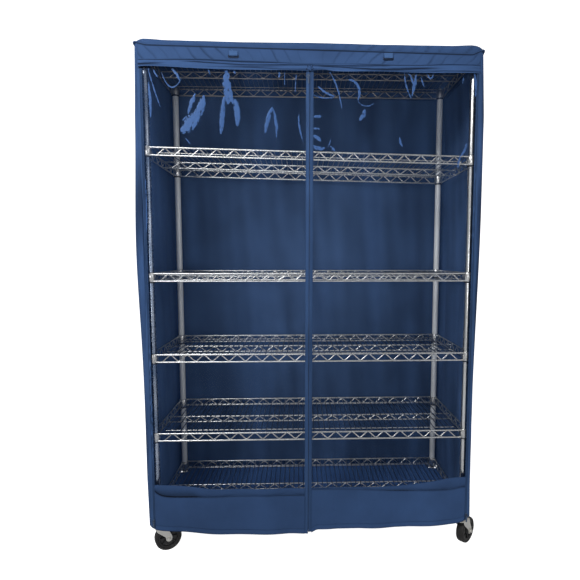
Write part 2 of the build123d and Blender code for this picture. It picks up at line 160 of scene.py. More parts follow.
def piece(name, shape, material, body, *nodes, slot=None, smooth=True, sharp_angle=None):
    """Makes an object from a shape, puts it on its CAD body and lets it stand for CAD nodes."""
    mesh = bpy.data.meshes.new(name)
    mesh.from_pydata([tuple(v) for v in shape.verts], [], shape.faces)
    if any(shape.shade):
        point_values(mesh, "shade", shape.shade)
    mesh.materials.append(material)
    if smooth:
        mesh.shade_smooth()
    if sharp_angle is not None:
        mesh.set_sharp_from_angle(angle=math.radians(sharp_angle))
    obj = bpy.data.objects.new(name, mesh)
    bpy.context.scene.collection.objects.link(obj)
    if body:
        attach(obj, body)
    if nodes:
        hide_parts(*nodes)
    slot = slot or SLOTS.get(material.name)
    return obj


def ring_faces(rings, sides, closed_path=False, caps=True):
    """Quads between successive rings of vertices, and end caps."""
    faces = []
    count = rings if closed_path else rings - 1
    for i in range(count):
        a, b = i * sides, ((i + 1) % rings) * sides
        for j in range(sides):
            k = (j + 1) % sides
            faces.append((a + j, a + k, b + k, b + j))
    if caps and not closed_path:
        faces.append(tuple(reversed(range(sides))))
        faces.append(tuple((rings - 1) * sides + j for j in range(sides)))
    return faces


def tube(points, radius, sides=12, closed_path=False, caps=True):
    """A round wire along a path, with a frame carried along so that it doesn't twist."""
    shape = Shape()
    points = [Vector(p) for p in points]
    count = len(points)
    tangents = []
    for i, point in enumerate(points):
        before = points[(i - 1) % count] if closed_path or i else point
        after = points[(i + 1) % count] if closed_path or i < count - 1 else point
        tangents.append((after - before).normalized())
    side = tangents[0].orthogonal().normalized()
    verts = []
    for point, tangent in zip(points, tangents):
        side = (side - tangent * side.dot(tangent)).normalized()
        other = tangent.cross(side)
        for j in range(sides):
            angle = 2 * math.pi * j / sides
            verts.append(point + radius * (math.cos(angle) * side + math.sin(angle) * other))
    shape.add(verts, ring_faces(count, sides, closed_path, caps))
    return shape


def lathe(profile, segments=48, closed_profile=False):
    """Turns (radius, height) points about the Z axis."""
    shape = Shape()
    verts = []
    for radius, height in profile:
        for j in range(segments):
            angle = 2 * math.pi * j / segments
            verts.append((radius * math.cos(angle), radius * math.sin(angle), height))
    shape.add(verts, ring_faces(len(profile), segments, closed_profile, not closed_profile))
    return shape


def grid(columns, rows, point):
    """A sheet of quads; point(u, v) gives x, y, z and how much darker the cloth is there."""
    shape = Shape()
    points = [
        point(i / columns, j / rows) for j in range(rows + 1) for i in range(columns + 1)
    ]
    verts = [p[:3] for p in points]
    shade = [p[3] for p in points]
    wide = columns + 1
    faces = [
        (j * wide + i, j * wide + i + 1, (j + 1) * wide + i + 1, (j + 1) * wide + i)
        for j in range(rows)
        for i in range(columns)
    ]
    shape.add(verts, faces, shade)
    return shape


def slab(outline, lower, upper):
    """A plate between two copies of an outline; lower and upper give each copy's points."""
    shape = Shape()
    count = len(outline)
    verts = [lower(a, b) for a, b in outline] + [upper(a, b) for a, b in outline]
    sides = [(i, (i + 1) % count, count + (i + 1) % count, count + i) for i in range(count)]
    shape.add(verts, sides + [tuple(reversed(range(count))), tuple(range(count, 2 * count))])
    return shape


def extruded(outline, thickness):
    """A flat plate in XZ from an outline, centred on Y = 0."""
    half = thickness / 2
    return slab(outline, lambda x, z: (x, -half, z), lambda x, z: (x, half, z))


def fillet_path(corners, radius, steps=4):
    """Rounds the inner corners of a path of points."""
    corners = [Vector(c) for c in corners]
    path = [corners[0]]
    for before, corner, after in zip(corners, corners[1:], corners[2:]):
        back, ahead = (before - corner).normalized(), (after - corner).normalized()
        start, end = corner + back * radius, corner + ahead * radius
        for n in range(steps + 1):
            t = n / steps
            path.append(start.lerp(corner, t).lerp(corner.lerp(end, t), t))
    path.append(corners[-1])
    return path


def arc(centre, radius, start, end, steps):
    """Points (x, z) on an arc, angles in degrees."""
    angles = [math.radians(start + (end - start) * n / steps) for n in range(steps + 1)]
    return [(centre[0] + radius * math.cos(a), centre[1] + radius * math.sin(a)) for a in angles]


def bevel(obj, width, segments=2, angle=35):
    modifier = obj.modifiers.new("soft_edges", "BEVEL")
    modifier.width = width
    modifier.segments = segments
    modifier.limit_method = "ANGLE"
    modifier.angle_limit = math.radians(angle)
    modifier.harden_normals = True


def thicken(obj, thickness, outside=None):
    """Gives a sheet thickness; outside is the material of its far side, if that differs."""
    modifier = obj.modifiers.new("thickness", "SOLIDIFY")
    modifier.thickness = thickness
    modifier.offset = 0
    if outside:
        obj.data.materials.append(outside)
        modifier.material_offset = 1


# ---------------------------------------------------------------- materials
class Surface:
    """A new material's nodes, with short calls for the kinds used here."""

    def __init__(self, name, slot=None):
        self.material = bpy.data.materials.new(name)
        self.material.use_nodes = True
        self.nodes = self.material.node_tree.nodes
        self.links = self.material.node_tree.links
        self.shader = self.nodes["Principled BSDF"]
        SLOTS[self.material.name] = slot

    def put(self, node, **values):
        """Gives input sockets a number, a colour or another node's output."""
        for name, value in values.items():
            socket = node.inputs[name.replace("_", " ")]
            if isinstance(value, bpy.types.NodeSocket):
                self.links.new(value, socket)
            else:
                socket.default_value = (*value, 1) if isinstance(value, tuple) else value

    def space(self, scale=(1, 1, 1)):
        """Object coordinates, stretched by scale."""
        coordinates = self.nodes.new("ShaderNodeTexCoord")
        mapping = self.nodes.new("ShaderNodeMapping")
        mapping.inputs["Scale"].default_value = scale
        self.put(mapping, Vector=coordinates.outputs["Object"])
        return mapping.outputs["Vector"]

    def noise(self, vector, scale, detail=3, roughness=0.5):
        texture = self.nodes.new("ShaderNodeTexNoise")
        self.put(texture, Vector=vector, Scale=scale, Detail=detail, Roughness=roughness)
        return texture.outputs["Fac"]

    def ramp(self, value, low, high, low_color, high_color):
        """Maps a value between two positions to a colour between two colours."""
        node = self.nodes.new("ShaderNodeValToRGB")
        first, second = node.color_ramp.elements
        first.position, first.color = low, (*low_color, 1)
        second.position, second.color = high, (*high_color, 1)
        self.put(node, Fac=value)
        return node.outputs["Color"]

    def math(self, operation, first, second):
        return math_node(self.nodes, self.links, operation, first, second)

    def attribute(self, name):
        """A value stored on the mesh's vertices."""
        node = self.nodes.new("ShaderNodeAttribute")
        node.attribute_name = name
        return node.outputs["Fac"]

    def bump(self, height, strength, distance):
        node = self.nodes.new("ShaderNodeBump")
        self.put(node, Strength=strength, Distance=distance, Height=height)
        self.put(self.shader, Normal=node.outputs["Normal"])


def math_node(nodes, links, operation, first, second):
    node = nodes.new("ShaderNodeMath")
    node.operation = operation
    for socket, value in zip(node.inputs, (first, second)):
        if isinstance(value, (int, float)):
            socket.default_value = value
        else:
            links.new(value, socket)
    return node.outputs[0]


def grey(value):
    return (value, value, value)


def metal(name, slot, color, rough_low, rough_high, grain=400, tint=None, metallic=1.0):
    """Plated metal with uneven roughness and slightly uneven colour."""
    s = Surface(name, slot)
    vector = s.space()
    speckle = s.noise(vector, grain, 4)
    cloud = s.noise(vector, 9, 2)
    second = tint or tuple(0.9 * c for c in color)
    rough = s.ramp(speckle, 0.3, 0.7, grey(rough_low), grey(rough_high))
    s.put(s.shader, Base_Color=s.ramp(cloud, 0.35, 0.65, color, second))
    s.put(s.shader, Metallic=metallic, Roughness=rough)
    s.bump(speckle, 0.06, 0.0004)
    return s.material


def plastic(name, slot, color, roughness, grain=900):
    """Moulded plastic or rubber with a fine speckle."""
    s = Surface(name, slot)
    speckle = s.noise(s.space(), grain, 3)
    lighter = tuple(min(1, 1.5 * c + 0.004) for c in color)
    s.put(s.shader, Base_Color=s.ramp(speckle, 0.3, 0.75, color, lighter), Roughness=roughness)
    s.bump(speckle, 0.25, 0.0003)
    return s.material


def weave_height(s, vector, pitch):
    """Over and under threads of a plain weave, from crossed waves."""
    heights = []
    for direction in ("X", "Y", "Z"):
        wave = s.nodes.new("ShaderNodeTexWave")
        wave.wave_type = "BANDS"
        wave.bands_direction = direction
        s.put(wave, Vector=vector, Scale=0.314 / pitch, Distortion=0.4, Detail=1)
        heights.append(wave.outputs["Fac"])
    return s.math("ADD", s.math("ADD", heights[0], heights[1]), heights[2])


def fabric(name, slot, color, pitch=0.9 * MM, sheen=0.10, roughness=0.72, weave_strength=0.30):
    """Coated woven cloth: weave bump, thread speckle, broad fading and a soft sheen."""
    s = Surface(name, slot)
    vector = s.space()
    fade = s.noise(vector, 3.2, 4, 0.6)
    thread = s.noise(vector, 700, 2)
    dark = tuple(0.80 * c for c in color)
    light = tuple(min(1, 1.18 * c) for c in color)
    mix = s.nodes.new("ShaderNodeMixRGB")
    mix.blend_type = "MULTIPLY"
    s.put(mix, Fac=0.35, Color1=s.ramp(fade, 0.3, 0.7, dark, light))
    s.put(mix, Color2=s.ramp(thread, 0.25, 0.75, grey(0.7), grey(1.0)))
    # The cloth's colour is scaled by one minus the painted shade stored on the mesh: positive values paint
    # shade, negative values paint light.
    scaled = s.nodes.new("ShaderNodeVectorMath")
    scaled.operation = "SCALE"
    s.links.new(mix.outputs["Color"], scaled.inputs[0])
    s.put(scaled, Scale=s.math("SUBTRACT", 1.0, s.attribute("shade")))
    s.put(s.shader, Base_Color=scaled.outputs["Vector"], Roughness=roughness, Specular_IOR_Level=0.12)
    glow = tuple(min(1, 2.2 * c) for c in color)
    s.put(s.shader, Sheen_Weight=sheen, Sheen_Roughness=0.45, Sheen_Tint=glow)
    soft = s.math("MULTIPLY", s.noise(vector, 26, 3), 1.5)
    s.bump(s.math("ADD", soft, weave_height(s, vector, pitch)), weave_strength, 0.0005)
    return s.material


def vinyl(name, slot):
    """Clear soft sheet: faintly tinted, with painted sheen along soft folds and painted glare where it
    creases.
    """
    s = Surface(name, slot)
    # This opaque blue shader is only mixed in at the painted glare and the painted sheen, and its colour is
    # the colour of those painted highlights.
    s.put(s.shader, Base_Color=(0.050, 0.112, 0.285), Roughness=0.35)
    s.put(s.shader, Specular_IOR_Level=0.2, Specular_Tint=(0.45, 0.65, 1.0))
    s.bump(s.noise(s.space((1, 1, 0.35)), 14, 4, 0.55), 0.5, 0.004)
    clear = s.nodes.new("ShaderNodeBsdfTransparent")
    s.put(clear, Color=(0.90, 0.915, 0.94))
    ragged = s.noise(s.space((1, 1, 0.7)), 120, 4, 0.75)
    broken = s.math("MULTIPLY", s.math("SUBTRACT", ragged, 0.5), 4.0)
    amount = s.math("MULTIPLY", s.attribute("glare"), s.math("ADD", broken, 1.05))
    # Painted glare: opaque blue patches along the creases, with ragged edges.
    patch = s.ramp(amount, 0.46, 0.54, grey(0), grey(0.92))
    fold = s.noise(s.space((1, 1, 0.22)), 7.5, 3, 0.5)
    painted_sheen = s.ramp(fold, 0.50, 0.68, grey(0.035), grey(0.13))
    mix = s.nodes.new("ShaderNodeMixShader")
    s.put(mix, Fac=s.math("MAXIMUM", patch, painted_sheen))
    s.links.new(clear.outputs["BSDF"], mix.inputs[1])
    s.links.new(s.shader.outputs["BSDF"], mix.inputs[2])
    s.put(s.nodes["Material Output"], Surface=mix.outputs["Shader"])
    return s.material


WIRE, CLOTH_SLOT, TAPE_SLOT = "chrome_wire", "blue_fabric", "zip_tape"
CHROME = metal("chrome_plate", WIRE, (0.83, 0.83, 0.81), 0.16, 0.30, 600, (0.78, 0.77, 0.72))
# A near-white, barely metallic copy of the chrome for the rear posts: a painted bright reflection, so that
# they read as chrome lit from the front.
CHROME_PAINTED_REFLECTION = metal("chrome_painted_reflection", WIRE, (0.95, 0.95, 0.93), 0.32, 0.44, 600, (0.90, 0.90, 0.87), 0.12)
# A darker, blue-tinted copy of the chrome for the front-left post: painted shade and a painted blue
# reflection of the cloth beside it.
CHROME_PAINTED_SHADE = metal("chrome_painted_blue_shade", WIRE, (0.55, 0.60, 0.68), 0.20, 0.34, 90, (0.20, 0.26, 0.36))
CHROME_SOFT = metal("chrome_wire", WIRE, (0.82, 0.81, 0.78), 0.22, 0.36, 500, (0.71, 0.69, 0.64))
# The deck's wires are chrome like the rods, drawn dark and bluish: painted shade and painted dark
# reflections of the cover's inside.
DECK_PAINTED_SHADE = metal("deck_wire_painted_shade", WIRE, (0.20, 0.22, 0.26), 0.30, 0.45, 500, (0.12, 0.14, 0.19))
DIM_WIRE = metal("shaded_wire", WIRE, (0.42, 0.39, 0.36), 0.40, 0.55, 500, (0.34, 0.32, 0.30))
ZINC = metal("zinc_plate", "zinc_steel", (0.72, 0.71, 0.67), 0.30, 0.48, 260, (0.62, 0.61, 0.58))
ZIP_METAL = metal("zip_metal", "zip_metal", (0.10, 0.14, 0.22), 0.30, 0.45, 700)
DARK_METAL = metal("dark_wire", "buckle_metal", (0.03, 0.04, 0.07), 0.35, 0.50, 500)
SLEEVE = plastic("black_sleeve", "black_plastic", (0.012, 0.012, 0.014), 0.45)
HUB = plastic("wheel_core", "wheel_plastic", (0.010, 0.010, 0.011), 0.38, 500)
TYRE = plastic("tyre_rubber", "tyre_rubber", (0.006, 0.0055, 0.0055), 0.62, 350)
BLUE = fabric("blue_cloth", CLOTH_SLOT, (0.036, 0.080, 0.195))
LINING = fabric("blue_cloth_inside", CLOTH_SLOT, (0.049, 0.092, 0.192))
PIPING = fabric("blue_piping", "blue_piping", (0.034, 0.076, 0.185), 1.2 * MM)
WEBBING = fabric("blue_webbing", "blue_webbing", (0.062, 0.135, 0.310), 1.8 * MM, 0.15, 0.6, 0.8)
TAPE = fabric("zip_tape", TAPE_SLOT, (0.036, 0.080, 0.190), 0.7 * MM)
THREAD = fabric("blue_thread", CLOTH_SLOT, (0.030, 0.060, 0.140), 0.5 * MM)
TEETH = plastic("zip_coil", TAPE_SLOT, (0.012, 0.020, 0.045), 0.35)
VINYL = vinyl("clear_vinyl", "clear_vinyl")


# ---------------------------------------------------------------- posts
# Which chrome each post gets: the rear posts carry a painted bright reflection, the front-left post painted
# shade.
POST_PLATE = {
    "front_left": CHROME_PAINTED_SHADE,
    "front_right": CHROME,
    "rear_left": CHROME_PAINTED_REFLECTION,
    "rear_right": CHROME_PAINTED_REFLECTION,
}


def post_profile():
    """Outer outline of a grooved tube from its bottom to its top."""
    half_groove, depth, lip, wall = 1.2 * MM, 0.5 * MM, 0.35 * MM, 1.2 * MM
    foot = [(POST_RADIUS - wall, 0), (POST_RADIUS - 0.3 * MM, 0), (POST_RADIUS, 0.4 * MM)]
    profile = [(radius, POST_LOW + rise) for radius, rise in foot]
    for n in range(1, round((POST_HIGH - POST_LOW) / GROOVE_PITCH)):
        z = POST_LOW + n * GROOVE_PITCH
        profile += [
            (POST_RADIUS, z - half_groove - lip),
            (POST_RADIUS - depth, z - half_groove),
            (POST_RADIUS - depth, z + half_groove),
            (POST_RADIUS, z + half_groove + lip),
        ]
    profile.append((POST_RADIUS, POST_HIGH))
    return profile


def build_posts():
    """The four grooved tubes and the caps in their tops."""
    tube_shape = lathe(post_profile(), 40)
    plug = [(0.5, -10), (11.2, -10), (11.2, 0.1)]
    rim = [(13.2, 0.3), (13.2, 1.6), (12.2, 2.5), (0.5, 2.6)]
    cap = lathe(mm(plug + rim), 32)
    caps = Shape()
    for corner, plate in POST_PLATE.items():
        x, y = POST[corner].xy
        shape = tube_shape.moved(shift(x, y, 0))
        piece(f"post_{corner}_tube", shape, plate, "root", f"post_{corner}", sharp_angle=50)
        caps.join(cap.moved(shift(x, y, POST_HIGH)))
    piece("post_end_caps", caps, SLEEVE, "root", "post_caps", sharp_angle=40)


# ---------------------------------------------------------------- shelves
def zigzag(run, height, along, offset, top):
    """A zigzag wire hanging below top; along is 'x' or 'y', offset its place on the other axis."""
    legs = 2 * round(run / ZIGZAG_PITCH)
    step = run / legs
    corners = []
    for n in range(legs + 1):
        place, z = -run / 2 + n * step, top - (0 if n % 2 else height)
        corners.append((place, offset, z) if along == "x" else (offset, place, z))
    return tube(fillet_path(corners, 7 * MM, 4), ZIGZAG_RADIUS, 10)


def straight(start, end, radius, sides=12):
    return tube([start, end], radius, sides)


def shelf_frame_shape():
    """Collars, edge rods and edge zigzags about a level shelf's middle, without the deck."""
    frame_shape = Shape()
    rod_x, rod_y = SPAN_X / 2 + ROD_OFFSET, SPAN_Y / 2 + ROD_OFFSET
    end_x, end_y = SPAN_X / 2 - ROD_GAP, SPAN_Y / 2 - ROD_GAP
    for z in (0, -TRUSS_HEIGHT):
        for side in (-1, 1):
            x, y = side * rod_x, side * rod_y
            frame_shape.join(straight((-end_x, y, z), (end_x, y, z), ROD_RADIUS))
            frame_shape.join(straight((x, -end_y, z), (x, end_y, z), ROD_RADIUS))
    return frame_shape


def collar_shape():
    """The tapered ring that each corner post passes through."""
    outer = COLLAR_RADIUS
    inner = outer - 3.8 * MM
    return lathe(
        [
            (outer - 2.8 * MM, COLLAR_BOTTOM),
            (outer - 0.8 * MM, COLLAR_BOTTOM),
            (outer, COLLAR_BOTTOM + 0.8 * MM),
            (outer, COLLAR_TOP - 1.5 * MM),
            (outer - 0.5 * MM, COLLAR_TOP - 0.5 * MM),
            (outer - 1.5 * MM, COLLAR_TOP),
            (inner, COLLAR_TOP),
            (inner, COLLAR_TOP - 2 * MM),
        ],
        40,
        closed_profile=True,
    )


def shelf_wire_shapes():
    """The deck, and then the stay wires, the middle truss and all the zigzags."""
    deck, wires = Shape(), Shape()
    rod_x, rod_y = SPAN_X / 2 + ROD_OFFSET, SPAN_Y / 2 + ROD_OFFSET
    deck_z = -ROD_RADIUS - DECK_RADIUS + PRESSED
    run = SPAN_X - 2 * DECK_MARGIN
    deck_end = rod_y + 1 * MM
    for n in range(DECK_COUNT):
        x = run * (n / (DECK_COUNT - 1) - 0.5)
        deck.join(straight((x, -deck_end, deck_z), (x, deck_end, deck_z), DECK_RADIUS, 10))
    stay_z = deck_z - 2 * DECK_RADIUS + PRESSED
    stay_end = run / 2 + 4 * MM
    for side in (-1, 1):
        y = side * (SPAN_Y / 2 - STAY_INSET)
        wires.join(straight((-stay_end, y, stay_z), (stay_end, y, stay_z), DECK_RADIUS))
    mid_z = deck_z - DECK_RADIUS - MID_ROD_RADIUS + PRESSED
    mid_end = rod_x - ROD_RADIUS
    for z in (mid_z, mid_z - MID_TRUSS_HEIGHT):
        wires.join(straight((-mid_end, 0, z), (mid_end, 0, z), MID_ROD_RADIUS))
    inset = ROD_RADIUS + ZIGZAG_RADIUS - PRESSED
    for side in (-1, 1):
        wires.join(zigzag(LONG_RUN, TRUSS_HEIGHT, "x", side * (rod_y - inset), 0))
        wires.join(zigzag(SHORT_RUN, TRUSS_HEIGHT, "y", side * (rod_x - inset), 0))
    mid_inset = PRESSED - MID_ROD_RADIUS - ZIGZAG_RADIUS
    wires.join(zigzag(LONG_RUN, MID_TRUSS_HEIGHT, "x", mid_inset, mid_z))
    return deck, wires


def sleeve_shape():
    """The black split sleeve between a post and a collar."""
    low, high, bore = -36 * MM, COLLAR_TOP + 0.6 * MM, POST_RADIUS + 0.1 * MM
    outside = [(15.4 * MM, low), (15.6 * MM, low + 0.8 * MM), (15.2 * MM, COLLAR_BOTTOM)]
    top = [(13.9 * MM, high - 0.6 * MM), (13.6 * MM, high)]
    return lathe([(bore, low)] + outside + top + [(bore, high)], 36, closed_profile=True)


def build_shelves():
    """Six shelves at the CAD heights; one stands lower at its right end."""
    rods, collar, sleeve = shelf_frame_shape(), collar_shape(), sleeve_shape()
    deck, wires = shelf_wire_shapes()
    sleeves = Shape()
    for number in SHELVES:
        low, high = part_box(f"shelf_{number}_frame")
        drop = (high.z - low.z) - (COLLAR_TOP - COLLAR_BOTTOM)
        drop = drop if drop > LEVEL_TOLERANCE else 0
        middle = (high.z + low.z) / 2 - (COLLAR_TOP + COLLAR_BOTTOM) / 2
        place = shift(0, 0, middle) @ Matrix.Rotation(math.atan2(drop, SPAN_X), 4, "Y")
        frame_shape = rods.moved(place)
        for corner in CORNERS:
            lift = drop / 2 if "left" in corner else -drop / 2
            at_post = shift(POST[corner].x, POST[corner].y, middle + lift)
            frame_shape.join(collar.moved(at_post))
            sleeves.join(sleeve.moved(at_post))
        plating = DIM_WIRE if number == SHELVES[-1] else CHROME_SOFT
        name = f"shelf_{number}"
        piece(f"{name}_rods_and_collars", frame_shape, plating, "root", f"{name}_frame", sharp_angle=50)
        piece(f"{name}_deck", deck.moved(place), DECK_PAINTED_SHADE, "root", f"{name}_wires", sharp_angle=60)
        piece(f"{name}_zigzags", wires.moved(place), plating, "root", f"{name}_wires", sharp_angle=60)
    piece("shelf_clip_sleeves", sleeves, SLEEVE, "root", "shelf_sleeves", sharp_angle=40)


# ---------------------------------------------------------------- casters
def caster_place(corner):
    """Turns a caster built trailing towards +X into its place."""
    trail = AXLE[corner] - POST[corner]
    angle = math.atan2(trail.y, trail.x)
    return Matrix.Translation((POST[corner].x, POST[corner].y, 0)) @ Matrix.Rotation(angle, 4, "Z")


def hexagon(radius, low, high):
    """A nut or bolt head with chamfered ends."""
    chamfer, waist = 0.6 * MM, 0.93 * radius
    return lathe([(waist, low), (radius, low + chamfer), (radius, high - chamfer), (waist, high)], 6)


def threaded(radius, low, high, pitch=1.5 * MM):
    """A rod with ring threads."""
    root = 0.93 * radius
    count = max(1, int((high - low) / pitch))
    step = (high - low) / count
    profile = []
    for n in range(count):
        z = low + n * step
        profile += [(root, z), (radius, z + step / 2)]
    return lathe(profile + [(root, high)], 24)


def stem_shape():
    """Kingpin foot, race disc and hexagon, with the threaded stem above them."""
    foot = [(3, 101.8), (7.4, 102), (7.8, 103), (7, 103.6), (5, 103.8), (5, 111)]
    race = [(23.6, 111.2), (25, 110.2), (25.4, 110.8), (25, 113.4), (22.5, 115)]
    neck = [(13, 116.4), (11.5, 117.6), (3, 117.8)]
    stem = lathe(mm(foot + race + neck), 48)
    stem.join(hexagon(11.2 * MM, 117.4 * MM, 126.6 * MM))
    stem.join(threaded(6.3 * MM, 126 * MM, 160 * MM))
    return stem


def fork_leg_outline():
    """Side outline of a fork leg, from the rounded axle end round the crown."""
    eye = arc((TRAIL, WHEEL_RADIUS), 12 * MM, -170, 10, 14)
    back = [(TRAIL + 11.5 * MM, WHEEL_RADIUS + 8 * MM)] + mm([(34, 86), (29, 101)])
    top = mm([(26, 105.6), (-17, 105.6)])
    front = mm([(-16.5, 99), (-8, 86)]) + [(TRAIL - 14 * MM, WHEEL_RADIUS + 9 * MM)]
    return eye + back + top + front


def fork_shape():
    """Two legs, the crown plate that joins them and the lower race under the stem."""
    fork = Shape()
    leg = extruded(fork_leg_outline(), 2.8 * MM)
    for side in (-1, 1):
        fork.join(leg.moved(shift(0, side * 20.4 * MM, 0)))
    top, bottom = 106.8 * MM, 104.0 * MM
    crown = arc((0, 0), 26 * MM, 122, 238, 12) + mm([(27, -21.8), (29.5, 0), (27, 21.8)])
    fork.join(slab(crown, lambda x, y: (x, y, bottom), lambda x, y: (x, y, top)))
    race = [(9, 106.6), (22.5, 106.7), (23.2, 108.6), (22, 109.4), (20.5, 107.6), (9, 107.4)]
    fork.join(lathe(mm(race), 48, closed_profile=True))
    return fork


def axle_shape():
    """Bolt, washers, head and nut across the fork, built along Z."""
    seat, washer_top, nut_top = 22.0 * MM, 23.2 * MM, 28.4 * MM
    end, tip = seat + 6 * MM, 4.2 * MM
    axle = lathe([(tip, -seat), (4.7 * MM, -seat), (4.7 * MM, end), (tip, end)], 24)
    hole, rim = 5 * MM, 9.2 * MM
    for side in (-1, 1):
        near, far = side * seat, side * washer_top
        axle.join(lathe([(hole, near), (rim, near), (rim, far), (hole, far)], 32, closed_profile=True))
    axle.join(hexagon(7.8 * MM, -nut_top - 0.2 * MM, -washer_top))
    axle.join(hexagon(7.8 * MM, washer_top, nut_top))
    axle.join(threaded(4.6 * MM, nut_top, seat + 9 * MM, 1 * MM))
    return axle


def mirrored(side):
    """A closed profile from its upper half and the same half turned over."""
    return side + [(x, -z) for x, z in reversed(side)]


def tyre_shape():
    """The tread ring with rounded shoulders."""
    shoulder = mm([(-12.4, 14.8), (-8, 16), (-4.2, 15.8), (-1.8, 14.4), (-0.5, 11.8), (0, 8)])
    return lathe(mirrored([(WHEEL_RADIUS + x, z) for x, z in shoulder]), 96, closed_profile=True)


def wheel_core_shape():
    """Hub, web and rim, with ribs between the hub and the rim."""
    hub = [(4.9, 18.2), (11.5, 18.2), (12.6, 17), (13.2, 8), (15, 6)]
    rim = [(30, 6), (32.4, 7.6), (33.6, 13.4), (34.6, 14.4), (38.2, 14.2)]
    core = lathe(mirrored(mm(hub + rim)), 72, closed_profile=True)
    ribs, half = 8, 1.5
    inner, outer, low, high = 12, 33.6, 11, 12
    rib = Shape()
    lower = [(inner, -half, -low), (outer, -half, -high), (outer, half, -high), (inner, half, -low)]
    rib.add(mm(lower + [(x, y, -z) for x, y, z in lower]), BOX_FACES)
    for n in range(ribs):
        core.join(rib.moved(Matrix.Rotation(2 * math.pi * n / ribs, 4, "Z")))
    return core


def build_casters():
    """Four casters; each fork turns with its swivel body and each wheel with its wheel body."""
    stems = Shape()
    across = shift(TRAIL, 0, WHEEL_RADIUS) @ Matrix.Rotation(math.pi / 2, 4, "X")
    for corner in CORNERS:
        place = caster_place(corner)
        stems.join(stem_shape().moved(place))
        name = f"caster_{corner}"
        swivel, wheel = f"{name}_swivel", f"{name}_wheel"
        fork = piece(f"{name}_yoke", fork_shape().moved(place), ZINC, swivel, f"{name}_fork", sharp_angle=40)
        bevel(fork, 0.9 * MM)
        shapes = axle_shape(), wheel_core_shape(), tyre_shape()
        axle, core, tyre = (shape.moved(place @ across) for shape in shapes)
        piece(f"{name}_axle_bolt", axle, ZINC, swivel, f"{name}_axle", sharp_angle=35)
        piece(f"{name}_core", core, HUB, wheel, f"{name}_wheel", sharp_angle=40)
        piece(f"{name}_tread", tyre, TYRE, wheel, f"{name}_tyre")
    piece("caster_stems_and_races", stems, ZINC, "root", "caster_stems", sharp_angle=35)


# ---------------------------------------------------------------- cover: shared cloth surface
def corner_distance(x, y):
    """Distance in plan from the cover's nearest upright corner."""
    return math.hypot(WALL_X - abs(x), WALL_Y - abs(y))


def hem_height(x, y):
    """Height of the cover's bottom edge: higher on the right, and turned up at the corners."""
    from_corner = corner_distance(x, y)
    climb = max(0.0, 1 - from_corner / HEM_RUN) ** 1.3
    left = HEM_Z + 28 * MM * climb + 24 * MM * math.exp(-from_corner / (12 * MM))
    right = HEM_Z + HEM_RISE_RIGHT + 9 * MM * climb + 40 * MM * math.exp(-from_corner / (30 * MM))
    spread = 20 * MM + 300 * MM * smooth_step(-WALL_Y, 0, y)
    share = smooth_step(-spread, spread, x - 5 * MM)
    return left + (right - left) * share + 1.5 * MM * soft_noise(3.1 * x, 2.7 * y, 4.2)


def seam_height(x, y):
    """The piped seam runs down a little to the right, and its corners are pulled up."""
    from_corner = corner_distance(x, y)
    pull = (8 * MM if x < 0 else 16 * MM) * smooth_step(50 * MM, 5 * MM, from_corner)
    return SEAM_Z - 4.5 * MM - 0.0143 * x + pull


def belly(x, z):
    """How far a wall stands out: the left side most above mid height, the right side only high up."""
    left = 4 * MM + 12 * MM * bell(z, 1.18, 0.33)
    right = -4 * MM + 12 * MM * smooth_step(0.50, 1.35, z)
    t = (z - HEM_Z) / (SEAM_Z - HEM_Z)
    ease = min(1.0, 8 * max(0.0, t), 8 * max(0.0, 1 - t))
    return (left + (right - left) * (0.5 + 0.5 * x / WALL_X)) * ease


def fold_depth(run, z, seed):
    """Soft hanging folds: vertical, stronger towards the hem, never far in or out."""
    down = 1 - (z - HEM_Z) / (SEAM_Z - HEM_Z)
    drift = 0.25 * soft_noise(run * 1.3, z * 0.9, seed)
    vertical = math.sin(2 * math.pi * (run * 5.3 + drift + seed))
    vertical += 0.6 * math.sin(2 * math.pi * (run * 9.1 - 1.6 * drift + 2.3 * seed))
    broad = soft_noise(run * 2.1, z * 0.8, seed + 7)
    diagonal = soft_noise(run * 7 + z * 3, z * 5 - run * 2, seed + 13)
    return (0.8 + 2.4 * down) * MM * vertical + 3.5 * MM * broad + 1.2 * MM * diagonal


def wall_outline(step=7 * MM):
    """Points and outward normals round the left, back and right walls, front return to front return."""
    start_x = WALL_X - 15 * MM
    r, turns = CORNER_RADIUS, 6
    corners = [(-1, -1, 270), (-1, 1, 180), (1, 1, 90), (1, -1, 0)]
    points = [(-start_x, -WALL_Y, 0, -1)]
    for side_x, side_y, start in corners:
        for n in range(turns + 1):
            a = math.radians(start - 90 * n / turns)
            x, y = side_x * (WALL_X - r) + r * math.cos(a), side_y * (WALL_Y - r) + r * math.sin(a)
            points.append((x, y, math.cos(a), math.sin(a)))
    points.append((start_x, -WALL_Y, 0, -1))
    fine = [points[0]]
    for a, b in zip(points, points[1:]):
        count = max(1, int(math.hypot(b[0] - a[0], b[1] - a[1]) / step))
        for n in range(1, count + 1):
            fine.append(tuple(p + (q - p) * n / count for p, q in zip(a, b)))
    return fine


